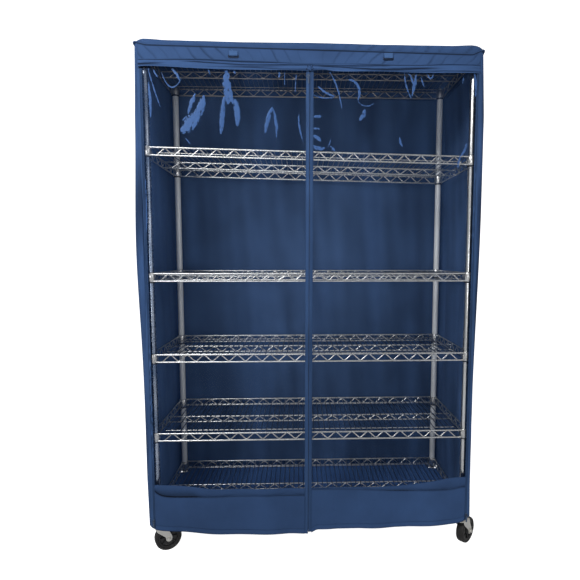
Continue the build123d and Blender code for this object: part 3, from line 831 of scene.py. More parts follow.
def wall_point(spot, run, z):
    """A point on the cloth wall: outline spot, distance along the wall and height."""
    x, y, nx, ny = spot
    front = 1 - smooth_step(0, 60 * MM, y + WALL_Y)
    calm = smooth_step(0, 45 * MM, SEAM_Z - z) * (1 - front)
    corner = 1 - smooth_step(20 * MM, 110 * MM, corner_distance(x, y))
    depth = fold_depth(run, z, 1.7) * calm * (1 - 0.7 * corner)
    depth += belly(x, z) * (abs(nx) + 0.35 * abs(ny)) * (1 if y > -WALL_Y + 1 * MM else 0.6)
    # Painted shade: soft and hanging folds darken and lighten the walls, the front returns are painted a
    # little darker with streaks of fold shade, and the side walls' inner faces are painted lighter.
    soft = soft_noise(run * 4.5, z * 1.3, 61.0)
    soft += 0.5 * soft_noise(run * 11 + z * 3, z * 4, 67.0)
    front_fold_shade = soft_noise(run * 70, z * 3.5, 71.0) * front
    hanging = soft_noise(run * 19 + 1.2 * z, z * 1.4, 73.0) * (1 - front)
    inside = (0.80 * max(0, -nx) + 0.32 * max(0, nx)) * (1 - front)
    shade = 0.30 * soft + 0.34 * hanging + 0.75 * front_fold_shade + 0.12 * front - inside
    return (x + nx * depth, y + ny * depth, z, shade)


def wall_sheet(spots, runs):
    rows = 150

    def point(u, v):
        place = u * (len(spots) - 1)
        index = int(round(place))
        spot = spots[index]
        low, top = hem_height(spot[0], spot[1]), seam_height(spot[0], spot[1])
        return wall_point(spot, runs[index], low + (top - low) * v)

    return grid(len(spots) - 1, rows, point)


def build_walls():
    outline = wall_outline()
    runs = [0]
    for a, b in zip(outline, outline[1:]):
        runs.append(runs[-1] + math.hypot(b[0] - a[0], b[1] - a[1]))
    on_back = [i for i, spot in enumerate(outline) if spot[1] > WALL_Y - 1e-5]
    back_start, back_end = on_back[0], on_back[-1]
    spans = {
        "left_side": (0, back_start, "cover_left_side"),
        "back": (back_start, back_end, "cover_back"),
        "right_side": (back_end, len(outline) - 1, "cover_right_side"),
    }
    for name, (first, last, node) in spans.items():
        sheet = wall_sheet(outline[first : last + 1], runs[first : last + 1])
        wall = piece(f"cover_{name}_cloth", sheet, LINING, "root", node)
        thicken(wall, CLOTH, BLUE)
    hem = Shape()
    for rise in (4 * MM, 19 * MM):
        path = [wall_point(p, r, hem_height(p[0], p[1]) + rise)[:3] for p, r in zip(outline, runs)]
        hem.join(stitches(path, 0.45 * MM))
    piece("cover_hem_stitching", hem, THREAD, "root")


def stitches(path, radius, length=3.4 * MM, gap=1.6 * MM):
    """A row of thread stitches along a path, as small pointed beads."""
    shape = Shape()
    path = [Vector(p) for p in path]
    travelled, next_start = 0.0, 0.0
    for a, b in zip(path, path[1:]):
        span = (b - a).length
        if span < 1e-7:
            continue
        along = (b - a) / span
        side = along.orthogonal().normalized()
        other = along.cross(side)
        while next_start < travelled + span:
            start = a + along * (next_start - travelled)
            end = start + along * length
            mid = (start + end) / 2
            verts = [start, end] + [mid + radius * d for d in (side, other, -side, -other)]
            faces = [(0, 3, 2), (0, 4, 3), (0, 5, 4), (0, 2, 5), (1, 2, 3), (1, 3, 4), (1, 4, 5), (1, 5, 2)]
            shape.add(verts, faces)
            next_start += length + gap
        travelled += span
    return shape


# ---------------------------------------------------------------- cover: lid, piping and valance
def lid_outline(count=420):
    """Rounded rectangle as (x, y, nx, ny), evenly stepped, starting at the front middle."""
    r = CORNER_RADIUS
    flat_x, flat_y, quarter = WALL_X - r, WALL_Y - r, math.pi * r / 2
    # each side's starting point, heading in degrees and length, with a rounded corner after it
    sides = [
        (0, -WALL_Y, 0, flat_x),
        (WALL_X, -flat_y, 90, 2 * flat_y),
        (flat_x, WALL_Y, 180, 2 * flat_x),
        (-WALL_X, flat_y, 270, 2 * flat_y),
        (-flat_x, -WALL_Y, 0, flat_x),
    ]
    total = sum(side[3] for side in sides) + 4 * quarter
    outline = []
    for n in range(count):
        left = total * n / count
        for x, y, heading, length in sides:
            ahead, out = math.radians(heading), math.radians(heading - 90)
            straight_part = min(left, length)
            x, y = x + straight_part * math.cos(ahead), y + straight_part * math.sin(ahead)
            turn = out + min(max(0, left - length), quarter) / r
            x, y = x + r * (math.cos(turn) - math.cos(out)), y + r * (math.sin(turn) - math.sin(out))
            if left <= length + quarter:
                break
            left -= length + quarter
        outline.append((x, y, math.cos(turn), math.sin(turn)))
    return outline


def lid_drop(x, y):
    """The lid rests on the post tops and sags between them."""
    along = 1 - abs(2 * abs(x) / SPAN_X - 1) if abs(x) < SPAN_X / 2 else 0
    near_post = math.exp(-((abs(x) - SPAN_X / 2) ** 2 + (abs(y) - SPAN_Y / 2) ** 2) / (60 * MM) ** 2)
    sag = 5 * MM * (1 - near_post) + 2.0 * MM * soft_noise(x * 4, y * 5, 0.3)
    sag += 1.0 * MM * soft_noise(x * 17 + y * 9, y * 13, 2.3)
    beyond = min(1.0, max(0.0, (abs(x) - SPAN_X / 2 + 6 * MM) / (32 * MM)))
    to_front = smooth_step(SPAN_Y / 2 + 10 * MM, WALL_Y - 9 * MM, abs(y)) * (0.5 + 0.5 * x / WALL_X)
    return sag * (0.75 + 0.25 * along) + 15 * MM * beyond**1.4 + 5 * MM * to_front


def drag_lines(x, drop):
    """Soft slanting folds that run down towards the middle of the cover, 1 in their valleys."""
    slant = -max(-1.0, min(1.0, x / 0.22))
    wander = 14 * MM * soft_noise(x * 8, drop * 22, 3.3)
    phase = ((x + wander - slant * drop * 1.05) / DRAG_PITCH) % 1.0
    valley = bell(phase, 0, 0.17) + bell(phase, 1, 0.08)
    strength = 0.4 + 0.6 * smooth_step(-0.25, 0.25, soft_noise(x * 7, drop * 6, 5.0))
    return valley * strength * (0.3 + 0.7 * smooth_step(0.02, 0.16, abs(x)))


def build_lid():
    """The lid's cloth, turned down over its edge to the seam, and the piping along the seam."""
    outline = lid_outline()
    count, top = len(outline), LID_HIGH.z
    verts, shade = [], []
    rings, inset = 27, 9 * MM
    for n in range(rings):
        scale = 0.02 + 0.98 * n / (rings - 1)
        for x, y, nx, ny in outline:
            px, py = (x - nx * inset) * scale, (y - ny * inset) * scale
            verts.append((px, py, top - lid_drop(px, py)))
            shade.append(0.0)
    # the rolled edge, as how far inside the walls and how far below the lid, in millimetres
    edge = [(6, 0.7), (3, 2.6), (1.2, 5.5), (0.4, 9), (0, 13)]
    edge += [(0.2, 17), (0.5, 20), (0.2, 23), (-0.8, 25), (-1.6, 27.6)]
    for edge_inset, drop in edge:
        for x, y, nx, ny in outline:
            crease = 1.6 * MM * soft_noise(x * 16 + drop * 0.35, y * 16, 5.1)
            out = -edge_inset * MM + crease * smooth_step(2, 12, drop)
            start = top - lid_drop(x, y)
            z = start + (seam_height(x, y) - start) * drop / edge[-1][1]
            verts.append((x + nx * out, y + ny * out, z))
            # Painted shade in the drag lines' valleys, and a painted shadow on the last few millimetres
            # above the piped seam.
            line = drag_lines(x + 21 * MM, drop * MM) * (0.2 + 0.8 * smooth_step(-0.05, 0.2, x))
            shade.append(0.42 * line * smooth_step(2, 7, drop) + 0.25 * smooth_step(21, 26, drop))
    shape = Shape()
    shape.add(verts, ring_faces(rings + len(edge), count, caps=False), shade)
    shape.faces.append(tuple(reversed(range(count))))
    lid = piece("cover_lid_cloth", shape, LINING, "root", "cover_top")
    thicken(lid, CLOTH, BLUE)
    path = []
    for x, y, nx, ny in outline:
        tip = bell(corner_distance(x, y), 0, 14 * MM)
        out = 1.4 * MM + 4.5 * MM * tip
        lift = 0.8 * MM * soft_noise(x * 9, y * 9, 1) + 2 * MM * tip
        path.append((x + nx * out, y + ny * out, seam_height(x, y) + lift))
    cord = tube(path, 2.4 * MM, 12, closed_path=True)
    piece("cover_piped_seam", cord, PIPING, "root", "cover_piping")


def front_depth(x, z):
    """How far the front cloth and windows stand in front of the front plane."""
    away = smooth_step(20 * MM, 120 * MM, WALL_X - abs(x))
    zip_calm = smooth_step(14 * MM, 90 * MM, abs(x - ZIP_X))
    down = 1 - (z - HEM_Z) / (SEAM_Z - HEM_Z)
    broad = 5 * MM * soft_noise(x * 2.2, z * 1.1, 21.5) * zip_calm
    turns = x * 4.6 + 0.3 * soft_noise(x, z * 1.2, 3)
    folds = (1.0 + 2.5 * down) * MM * math.sin(2 * math.pi * turns) * zip_calm
    under_band = smooth_step(DOOR_TOP - 2 * MM, DOOR_TOP - 25 * MM, z)
    return ((broad + folds + 0.5 * MM) * away + 2 * MM) * (0.25 + 0.75 * under_band)


def valance_low(x):
    """The gathered band's lower edge: higher at the left end and beside the zip."""
    left = 9 * MM * smooth_step(-0.25, -0.60, x)
    beside_zip = 5 * MM * bell(x, 45 * MM, 35 * MM)
    return VALANCE_BOTTOM - 3 * MM + left + beside_zip + 2.4 * MM * soft_noise(x * 6, 0, 9.1)


# Rows of painted shade lines in the gathered band: drop below its flat part, darkness and half width, in
# millimetres.
GATHER_LINES = ((0.5, 0.80, 2.0), (8.0, 0.75, 2.0), (15.0, 0.90, 2.6), (20.5, 0.6, 1.6))


def gather_lines(x, z, flat_bottom):
    """Painted shade in the dark lines between the folds of the gathered band, also used to sink the cloth
    there: each one wanders and comes and goes.
    """
    shade = 0.0
    for row, (drop, strength, width) in enumerate(GATHER_LINES):
        middle = flat_bottom - (drop + 6 * soft_noise(x * 4.2, row * 3.0, 4.4)) * MM
        half = width * (1 + 0.8 * soft_noise(x * 5, row, 14.4)) * MM
        present = smooth_step(-0.25, 0.1, soft_noise(x * 3.3, row, 24.4)) if row else 1.0
        shade = max(shade, strength * present * bell(z, middle, half))
    return shade


def build_valance():
    """Flat band with slanting drag lines, then a gathered band with a wavy lower edge."""
    half = WALL_X - 15.4 * MM

    def point(u, v):
        x = -half + 2 * half * u
        seam = seam_height(x, -WALL_Y)
        flat_bottom = VALANCE_BOTTOM + 24 * MM + 7 * MM * smooth_step(-0.2, -0.5, x)
        z = seam + (valance_low(x) - seam) * v
        fold = drag_lines(x, seam - z)
        lines = gather_lines(x, z, flat_bottom)
        gather = smooth_step(flat_bottom + 2 * MM, flat_bottom - 3 * MM, z)
        out = 3.0 * MM - 1.5 * MM * min(1.0, fold) * smooth_step(seam, seam - 12 * MM, z) * (1 - gather)
        out += gather * (2.6 * MM + 1.4 * MM * soft_noise(x * 38, z * 60, 6.6)) - 3.0 * MM * lines
        calm = smooth_step(0, 30 * MM, half - abs(x))
        # Painted shadow just under the piped seam, painted shade in the drag lines' valleys and between the
        # gathered folds, and painted light on the gathered band's ridges.
        under_seam = bell(z, seam - 3 * MM, 2.6 * MM)
        drag = (0.46 * fold - 0.08) * (1 - gather)
        shade = max(0.85 * under_seam, lines, drag) - 0.16 * gather * (1 - min(1.0, 2 * lines))
        shade += 0.10 * soft_noise(x * 6, z * 14, 8.8)
        return (x, -WALL_Y - 1.5 * MM - out * (0.35 + 0.65 * calm), z, shade)

    valance = piece("cover_valance_cloth", grid(560, 80, point), BLUE, "root", "cover_valance")
    thicken(valance, CLOTH)


def build_zip_tuck():
    """The knot of gathered cloth where the centre zip runs up under the band."""
    width, height, depth = 12 * MM, 10 * MM, 6 * MM
    middle = (ZIP_X + ZIP_LEAN, -WALL_Y - 6 * MM, VALANCE_BOTTOM + 6 * MM)

    def point(u, v):
        around = 2 * math.pi * u
        ridge = 0.5 + 0.5 * math.cos(6 * around + 0.8)
        radius = v * (1 + 0.25 * math.cos(5 * around + 1.3))
        x = middle[0] + width * radius * math.cos(around)
        y = middle[1] - depth * math.sqrt(1 - v * v) * (0.7 + 0.3 * ridge)
        z = middle[2] + height * radius * math.sin(around)
        # Painted shade at the knot's rim and between its ridges; elsewhere it is painted a little lighter.
        shade = 0.85 * smooth_step(0.66, 0.9, v) + 0.5 * (1 - ridge) * smooth_step(0.15, 0.5, v) - 0.25
        return (x, y, z, shade)

    tuck = piece("cover_zip_tuck", grid(72, 14, point), BLUE, "root", "cover_valance")
    thicken(tuck, 0.6 * MM)


# ---------------------------------------------------------------- doors
ZIP_LEAN = 5.0 * MM  # the centre zip leans this far right at the top and left at the bottom
FLAP_WIDTH = 12.5 * MM

# Sharp creases in the vinyl, bent into the sheet and painted with glare, each as start, bend, end and width.
# All in millimetres on the front plane, mostly just under the gathered band.
CREASES = [
    ((-560, 1808), (-552, 1790), (-540, 1775), 6),
    ((-530, 1800), (-500, 1700), (-458, 1775), 4),
    ((-495, 1808), (-475, 1795), (-465, 1765), 8),
    ((-575, 1808), (-562, 1750), (-535, 1675), 5),
    ((-575, 1760), (-568, 1700), (-570, 1640), 9),
    ((-412, 1720), (-425, 1695), (-438, 1655), 14),
    ((-444, 1645), (-452, 1637), (-461, 1627), 4),
    ((-381, 1712), (-390, 1665), (-425, 1628), 26),
    ((-400, 1655), (-425, 1625), (-458, 1592), 40),
    ((-450, 1570), (-440, 1555), (-430, 1545), 4),
    ((-301, 1800), (-299, 1760), (-296, 1690), 26),
    ((-310, 1710), (-318, 1650), (-323, 1585), 16),
    ((-290, 1745), (-284, 1715), (-280, 1690), 14),
    ((-271, 1702), (-262, 1665), (-264, 1615), 20),
    ((-140, 1676), (-158, 1640), (-165, 1590), 14),
    ((-138, 1672), (-122, 1630), (-125, 1575), 10),
    ((-45, 1655), (-48, 1610), (-30, 1560), 6),
    ((-52, 1802), (-58, 1760), (-58, 1715), 3),
    ((-95, 1800), (-94, 1780), (-95, 1755), 2),
    ((-115, 1800), (-112, 1790), (-115, 1780), 6),
    ((-365, 1806), (-362, 1798), (-358, 1788), 5),
    ((-275, 1804), (-272, 1799), (-270, 1793), 6),
    ((65, 1805), (100, 1750), (110, 1670), 5),
    ((25, 1752), (50, 1725), (85, 1718), 7),
    ((10, 1722), (40, 1706), (82, 1714), 5),
    ((135, 1778), (185, 1765), (168, 1705), 10),
    ((168, 1702), (195, 1672), (225, 1696), 4),
    ((192, 1672), (188, 1650), (176, 1638), 14),
    ((334, 1805), (336, 1750), (362, 1712), 5),
    ((348, 1802), (372, 1780), (363, 1722), 7),
    ((376, 1798), (374, 1760), (364, 1730), 9),
    ((393, 1792), (398, 1770), (406, 1754), 4),
    ((415, 1805), (430, 1765), (440, 1803), 5),
    ((550, 1795), (548, 1780), (545, 1765), 3),
    ((588, 1805), (598, 1765), (594, 1725), 9),
    ((8, 1646), (25, 1652), (42, 1645), 9),
    ((8, 1606), (20, 1608), (30, 1603), 7),
    ((8, 1580), (22, 1578), (32, 1562), 13),
    ((8, 1545), (25, 1530), (46, 1538), 14),
    ((72, 1572), (66, 1555), (60, 1540), 3),
    ((68, 1542), (76, 1538), (84, 1528), 9),
    ((320, 1577), (320, 1560), (330, 1545), 8),
    ((566, 1558), (560, 1525), (542, 1512), 9),
    ((542, 1508), (538, 1490), (534, 1470), 8),
    ((-608, 1650), (-600, 1400), (-606, 1180), 5),
    ((-596, 1420), (-592, 1300), (-598, 1230), 4),
]
CREASE_STEPS = 10
CELL = 50 * MM


def crease_points():
    """Every crease as a row of (x, z, half width) spots, pinched at both ends."""
    spots = []
    for start, bend, end, width in CREASES:
        for n in range(CREASE_STEPS + 1):
            t = n / CREASE_STEPS
            a, b, c = (1 - t) ** 2, 2 * t * (1 - t), t * t
            x, z = (a * p + b * q + c * r for p, q, r in zip(start, bend, end))
            half = 0.5 * width * MM * (0.35 + 0.65 * math.sin(math.pi * t) ** 0.7)
            spots.append((x * MM, z * MM, half))
    return spots


def crease_segments():
    """Pairs of neighbouring spots, sorted into 50 mm cells so that a lookup is quick."""
    cells = {}
    spots = crease_points()
    for n in range(len(spots) - 1):
        if n % (CREASE_STEPS + 1) == CREASE_STEPS:
            continue
        first, second = spots[n], spots[n + 1]
        column, row = round(first[0] / CELL), round(first[1] / CELL)
        for i in (-1, 0, 1):
            for j in (-1, 0, 1):
                cells.setdefault((column + i, row + j), []).append((first, second))
    return cells


SEGMENTS = crease_segments()


def crease_at(x, z):
    """1 along the middle of a crease, 0.5 at its edge, falling to 0 outside it."""
    best = 0.0
    for (x0, z0, w0), (x1, z1, w1) in SEGMENTS.get((round(x / CELL), round(z / CELL)), ()):
        dx, dz = x1 - x0, z1 - z0
        t = min(1.0, max(0.0, ((x - x0) * dx + (z - z0) * dz) / (dx * dx + dz * dz)))
        gap = math.hypot(x - x0 - t * dx, z - z0 - t * dz)
        half = w0 + (w1 - w0) * t
        best = max(best, 1 - 0.5 * gap / half if gap < 2 * half else 0.0)
    return best


def zip_lean(z):
    return ZIP_LEAN * (2 * (z - HEM_Z) / (DOOR_TOP - HEM_Z) - 1)


def panel_x(side, u, z):
    """X across a door's panel, from its left edge (u = 0) to its right edge (u = 1)."""
    inner = ZIP_X + zip_lean(z) + (-FLAP_WIDTH if side == "left" else FLAP_WIDTH)
    ends = (-EDGE_X, inner) if side == "left" else (inner, EDGE_X)
    return ends[0] + (ends[1] - ends[0]) * u


def skirt_fold(x):
    """Height of the soft fold under the windows, that turns up at the outer end."""
    if x < ZIP_X:
        return 231 * MM + 26 * MM * math.exp(-(x + EDGE_X) / (22 * MM))
    return 255 * MM - 13 * MM * smooth_step(0.0, 0.45, x) + 12 * MM * smooth_step(0.53, 0.60, x)


def skirt_top(x):
    """The seam under the windows climbs towards the outer corners."""
    climb = smooth_step(WALL_X - 330 * MM, WALL_X - 10 * MM, abs(x))
    return SKIRT_TOP + (34 if x > 0 else 22) * MM * climb + 1.5 * MM * soft_noise(x * 5, 1, 8)


def window_depth(x, z):
    """The vinyl hangs in the cloth's plane with its own shallow creases."""
    upper = smooth_step(1.15, 1.75, z)
    crease = soft_noise(x * 9, z * 4.5, 31.0)
    ripple = soft_noise(x * 26, z * 12, 37.0)
    sharp = 2.5 * MM * min(1.0, 1.6 * crease_at(x, z))
    own = (1.2 * MM + 1.6 * MM * upper) * crease + 0.5 * MM * ripple + sharp
    return front_depth(x, z) + own * smooth_step(DOOR_TOP + 2 * MM, DOOR_TOP - 15 * MM, z)


def build_window(side):
    """Fine near the top, where the creases are, and coarser below."""
    fine_from, top = 1.44, DOOR_TOP + 3 * MM
    coarse_rows, fine_rows = 110, 150
    rows = coarse_rows + fine_rows
    split = coarse_rows / rows

    def point(u, v):
        t = v / split if v < split else (v - split) / (1 - split)
        z = (SKIRT_TOP + (fine_from - SKIRT_TOP) * t) if v < split else fine_from + (top - fine_from) * t
        x = panel_x(side, u, z)
        z += (skirt_top(x) - SKIRT_TOP) * (1 - smooth_step(SKIRT_TOP, 0.5, z))
        return (x, -WALL_Y - window_depth(x, z), z, 0.0)

    sheet = grid(240, rows, point)
    door = f"door_{side}"
    window = piece(f"{door}_vinyl_window", sheet, VINYL, door, f"{door}_window")
    # The painted glare along the creases, for the vinyl's shader.
    point_values(window.data, "glare", [crease_at(v[0], v[2]) for v in sheet.verts])


def build_skirt(side):
    seam_drop = 4 * MM

    def point(u, v):
        z_guess = SKIRT_TOP + (HEM_Z - SKIRT_TOP) * v
        x = panel_x(side, u, z_guess)
        top = skirt_top(x) + seam_drop
        z = top + (hem_height(x, -WALL_Y) - top) * v
        fold = skirt_fold(x) + 2 * MM * soft_noise(x * 5, 0, 6)
        outer = smooth_step(0.12, 0.52, abs(x))
        edge = bell(z, fold, 2.8 * MM) * (0.55 + 0.45 * outer)
        above = smooth_step(top - 4 * MM, fold, z) * (z > fold)
        patch = smooth_step(-0.2, 0.35, soft_noise(x * 6.5, z * 6, 18.8))
        roll = 3.5 * MM * smooth_step(fold + 12 * MM, fold, z) * (z > fold - 2 * MM)
        broad = soft_noise(x * 3.2 + z * 2, z * 4, 28.8)
        slanting = soft_noise(abs(x) * 9 - z * 7, z * 3, 38.8) * smooth_step(0.1, 0.3, abs(x))
        rise = z - hem_height(x, -WALL_Y)
        hem_line = bell(rise, 19 * MM, 1.6 * MM)
        hem_edge = bell(rise, 0, 3 * MM)
        out = front_depth(x, z) + 1.5 * MM - roll + 1.4 * MM * broad - 0.6 * MM * hem_line
        # Painted shade: a dark line along the soft fold and a darker wedge above it towards the seam, broad
        # and slanting fold shade, a dark line along the hem stitching, and the whole skirt painted a little
        # darker, as shade; the very bottom edge is darker and the hem band below the stitching a touch
        # lighter.
        shade = 0.65 * edge * (0.6 + 0.4 * patch)
        shade += 0.55 * above * (0.3 + 0.7 * outer) * (0.4 + 0.6 * patch)
        shade += 0.10 * broad + 0.16 * slanting + 0.20 * hem_line + 0.35 * hem_edge
        shade -= 0.05 * smooth_step(20 * MM, 16 * MM, rise)
        return (x, -WALL_Y - max(0.2 * MM, out), z, shade + 0.12)

    door = f"door_{side}"
    skirt = piece(f"{door}_skirt_cloth", grid(220, 110, point), BLUE, door, f"{door}_skirt")
    thicken(skirt, CLOTH)
    rows = Shape()
    for share in (0.012, 0.90):
        path = [Vector(point(n / 200, share)[:3]) + Vector((0, -0.7 * MM, 0)) for n in range(201)]
        rows.join(stitches(path, 0.45 * MM))
    piece(f"{door}_skirt_stitching", rows, THREAD, door)


# across a flap from its outer edge to the zip: share of its width, and rise in millimetres
FLAP_PROFILE = [(0.0, 0.3), (0.08, 1.0), (0.35, 1.5), (0.7, 2.2), (0.92, 2.6), (1.0, 2.2), (1.02, 1.0)]


def flap_point(start, end, across, rise, z, lean):
    """A point on a flap beside a zip; start and end are its outer and inner edges."""
    shift = zip_lean(z) if lean else 0.0
    wobble = 0.5 * MM * soft_noise(start * 3, z * 11, 12.0)
    y = -WALL_Y - 0.6 * front_depth(start, z) - rise - wobble
    return (start + (end - start) * across + shift + wobble, y, z)


def flap(start, end, bottom, top, height=1.0, lean=False, base_shade=0.0, glints=0.0):
    """A folded cloth flap beside a zip: flat at its outer edge, standing up at the zip."""
    last = len(FLAP_PROFILE) - 1

    def point(u, v):
        k = min(int(u * last), last - 1)
        t = u * last - k
        (a0, r0), (a1, r1) = FLAP_PROFILE[k], FLAP_PROFILE[k + 1]
        rise = (r0 + (r1 - r0) * t) * MM * height
        across = a0 + (a1 - a0) * t
        # Painted shade over the whole flap, darker in the groove at the zip and along the outer edge, with
        # painted glints of light where glints is set.
        shade = base_shade + 0.5 * smooth_step(0.9, 1.0, across) + 0.3 * smooth_step(0.12, 0.0, across)
        z = bottom + (top - bottom) * v
        shade += 0.16 * soft_noise(start * 9 + across, z * 9, 15.0)
        glint_pattern = soft_noise(across * 2.2 + z * 9, z * 42, 25.0)
        stretch = smooth_step(-0.05, 0.25, soft_noise(start, z * 2.4, 35.0))
        shade -= glints * stretch * smooth_step(0.02, 0.16, glint_pattern)
        return (*flap_point(start, end, across, rise, z, lean), shade)

    return grid(18, 240, point)


def zip_teeth(sign, bottom, top):
    """A row of coil teeth along one tape's edge."""
    teeth = Shape()
    pitch, size = 2.6 * MM, 1.5 * MM
    for n in range(int((top - bottom) / pitch)):
        z = bottom + (n + (0.5 if sign < 0 else 0)) * pitch
        x = ZIP_X + zip_lean(z) + sign * 1.4 * MM
        y = -WALL_Y - 0.6 * front_depth(x, z) - 0.9 * MM
        near, far = x + 0.3 * MM * sign, x - 1.9 * MM * sign
        front = [(near, y, z), (far, y, z), (far, y, z + size), (near, y, z + size)]
        teeth.add(front + [(a, b - 1.1 * MM, c) for a, b, c in front], BOX_FACES)
    return teeth


def build_zip_flaps(side):
    """The centre flap and the outer binding of one door, with stitching and teeth."""
    sign = -1 if side == "left" else 1
    low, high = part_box(f"door_{side}_zip_tapes")
    start, end = ZIP_X + sign * (FLAP_WIDTH + 1.0 * MM), ZIP_X + sign * 0.9 * MM
    bottom, top = hem_height(start, -WALL_Y), DOOR_TOP + 2 * MM
    edge_start, edge_end = sign * (EDGE_X - 1 * MM), low.x if sign < 0 else high.x
    edge_bottom = hem_height(edge_end, -WALL_Y)
    # Painted shade: the right door's centre flap a little darker, the outer bindings darker still, with
    # painted glints of light on them, strongest on the left.
    shape = flap(start, end, bottom, top, 1.0, True, 0.12 if sign > 0 else 0.0)
    glints = 0.9 if sign < 0 else 0.3
    shape.join(flap(edge_start, edge_end, edge_bottom, top, 0.8, base_shade=0.34, glints=glints))
    door = f"door_{side}"
    flaps = piece(f"{door}_zip_flaps", shape, TAPE, door, f"{door}_zip_tapes")
    thicken(flaps, 0.8 * MM)
    rows = Shape()
    for share in (0.30, 0.62):
        rise = (1.5 + 1.9 * share) * MM
        heights = [bottom + (DOOR_TOP - bottom) * n / 240 for n in range(241)]
        rows.join(stitches([flap_point(start, end, share, rise, z, True) for z in heights], 0.5 * MM))
    piece(f"{door}_zip_stitching", rows, THREAD, door, slot=TAPE_SLOT)
    teeth = zip_teeth(sign, bottom + 8 * MM, DOOR_TOP - 4 * MM)
    piece(f"{door}_zip_coil", teeth, TEETH, door, smooth=False)


def build_side_tapes():
    """The halves of the corner zips that are sewn to the side walls."""
    shape = Shape()
    low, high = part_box("cover_zip_tapes")
    for x_edge, sign in ((low.x, -1), (high.x, 1)):
        start, end = x_edge + sign * 6 * MM, x_edge - sign * 5 * MM
        shape.join(flap(start, end, hem_height(start, -WALL_Y), DOOR_TOP + 1 * MM, 0.7))
    tapes = piece("cover_corner_zip_tapes", shape, TAPE, "root", "cover_zip_tapes")
    thicken(tapes, 0.8 * MM)


def build_under_shelf_flap():
    """The cloth flap behind and under the bottom shelf, sagging between its edges."""
    low_z, half, depth = 130 * MM, 616 * MM, 300 * MM

    def point(u, v):
        x = half * (2 * u - 1)
        rear = WALL_Y - 3 * MM - 48 * MM * smooth_step(560 * MM, 580 * MM, abs(x))
        y = rear + (WALL_Y - 3 * MM - depth - rear) * v
        sag = 7 * MM * math.sin(math.pi * u) * math.sin(math.pi * v)
        wave = 1.5 * MM * soft_noise(x * 6, y * 9, 41.0)
        # Painted light: the flap is drawn much lighter than its cloth, as it sits in shade under the bottom
        # shelf, with soft uneven shade on top.
        shade = 0.3 * soft_noise(x * 5 + y * 4, y * 6, 43.0) - 0.8
        return (x, y, low_z - sag + wave, shade)

    under = piece("cover_under_shelf_flap", grid(160, 50, point), BLUE, "root", "cover_back")
    thicken(under, CLOTH)


# ---------------------------------------------------------------- zip sliders, pulls, straps
PIN_DEPTH = 4.4 * MM  # the pull's pin stands this far in front of its slider's middle


def slider_shape():
    """Slider body about its own centre: shield outline, side lugs and the pull's pin."""
    right = [(1.6, 7.4), (3.8, 5.5), (5, 1), (5, -7), (3.6, -7.5)]
    left = [(-3.6, -7.5), (-5, -7), (-5, 1), (-3.8, 5.5), (-1.6, 7.4)]
    body = extruded(mm(left[1:] + right + left[:1]), 3.2 * MM)
    inner, outer, half = 4.0, 5.4, 2
    for side in (-1, 1):
        corners = [(side * inner, -half), (side * outer, -half), (side * outer, half), (side * inner, half)]
        body.join(extruded(mm(corners[::side]), 4.2 * MM).moved(shift(0, -3.4 * MM, 0)))
    body.join(straight((-5.2 * MM, -PIN_DEPTH, 0), (5.2 * MM, -PIN_DEPTH, 0), 0.8 * MM))
    return body


def pull_shape():
    """Pull tab hanging from its pin at the origin: an eye, a neck and a rounded handle."""
    eye, count = 1.9 * MM, 16
    turns = [2 * math.pi * n / count for n in range(count)]
    ring = [(0, eye * math.cos(a), eye * math.sin(a)) for a in turns]
    pull = tube(ring, 0.7 * MM, 8, closed_path=True)
    pull.join(straight((0, 0, -1.6 * MM), (0, 0, -6 * MM), 1.1 * MM))
    left = [(-1.6, -5.5), (-3.0, -8), (-3.0, -24.5), (-2.0, -26.6)]
    pull.join(extruded(mm(left + [(-x, z) for x, z in reversed(left)]), 1.5 * MM))
    return pull


def build_zip_hardware():
    """Three sliders, each with its pull tab hanging from the pin that the joint turns about."""
    for name in ("centre", "left", "right"):
        pin = Vector(JOINTS[f"zip_{name}_pull_flip"]["pos_m"])
        body = f"zip_{name}_slider"
        shape = slider_shape().moved(shift(pin.x, pin.y + PIN_DEPTH, pin.z))
        slider = piece(f"{body}_body", shape, ZIP_METAL, body, body, sharp_angle=30)
        bevel(slider, 0.4 * MM)
        body = f"zip_{name}_pull"
        pull = piece(f"{body}_tab", pull_shape().moved(shift(*pin)), ZIP_METAL, body, body, sharp_angle=30)
        bevel(pull, 0.3 * MM)


def strap_shape(back, top, bar):
    """Webbing folded forward round the buckle bar, with a stitched end."""
    half, thick = 15 * MM, 0.65 * MM
    line = [(back, top), (back, bar.z + 4 * MM)]
    radius, turns = abs(bar.y - back), 10
    for n in range(turns + 1):
        a = -math.pi * n / turns
        line.append((bar.y + radius * math.cos(a), bar.z + radius * math.sin(a)))
    line += [(bar.y - radius - 0.2 * MM, bar.z + 8 * MM), (bar.y - radius + 0.9 * MM, bar.z + 14 * MM)]
    verts = []
    for k, (y, z) in enumerate(line):
        before, after = line[max(0, k - 1)], line[min(len(line) - 1, k + 1)]
        dy, dz = after[0] - before[0], after[1] - before[1]
        size = math.hypot(dy, dz)
        ny, nz = thick * dz / size, -thick * dy / size
        verts += [(-half, y + ny, z + nz), (half, y + ny, z + nz)]
        verts += [(half, y - ny, z - nz), (-half, y - ny, z - nz)]
    shape = Shape()
    shape.add(verts, ring_faces(len(line), 4))
    return shape


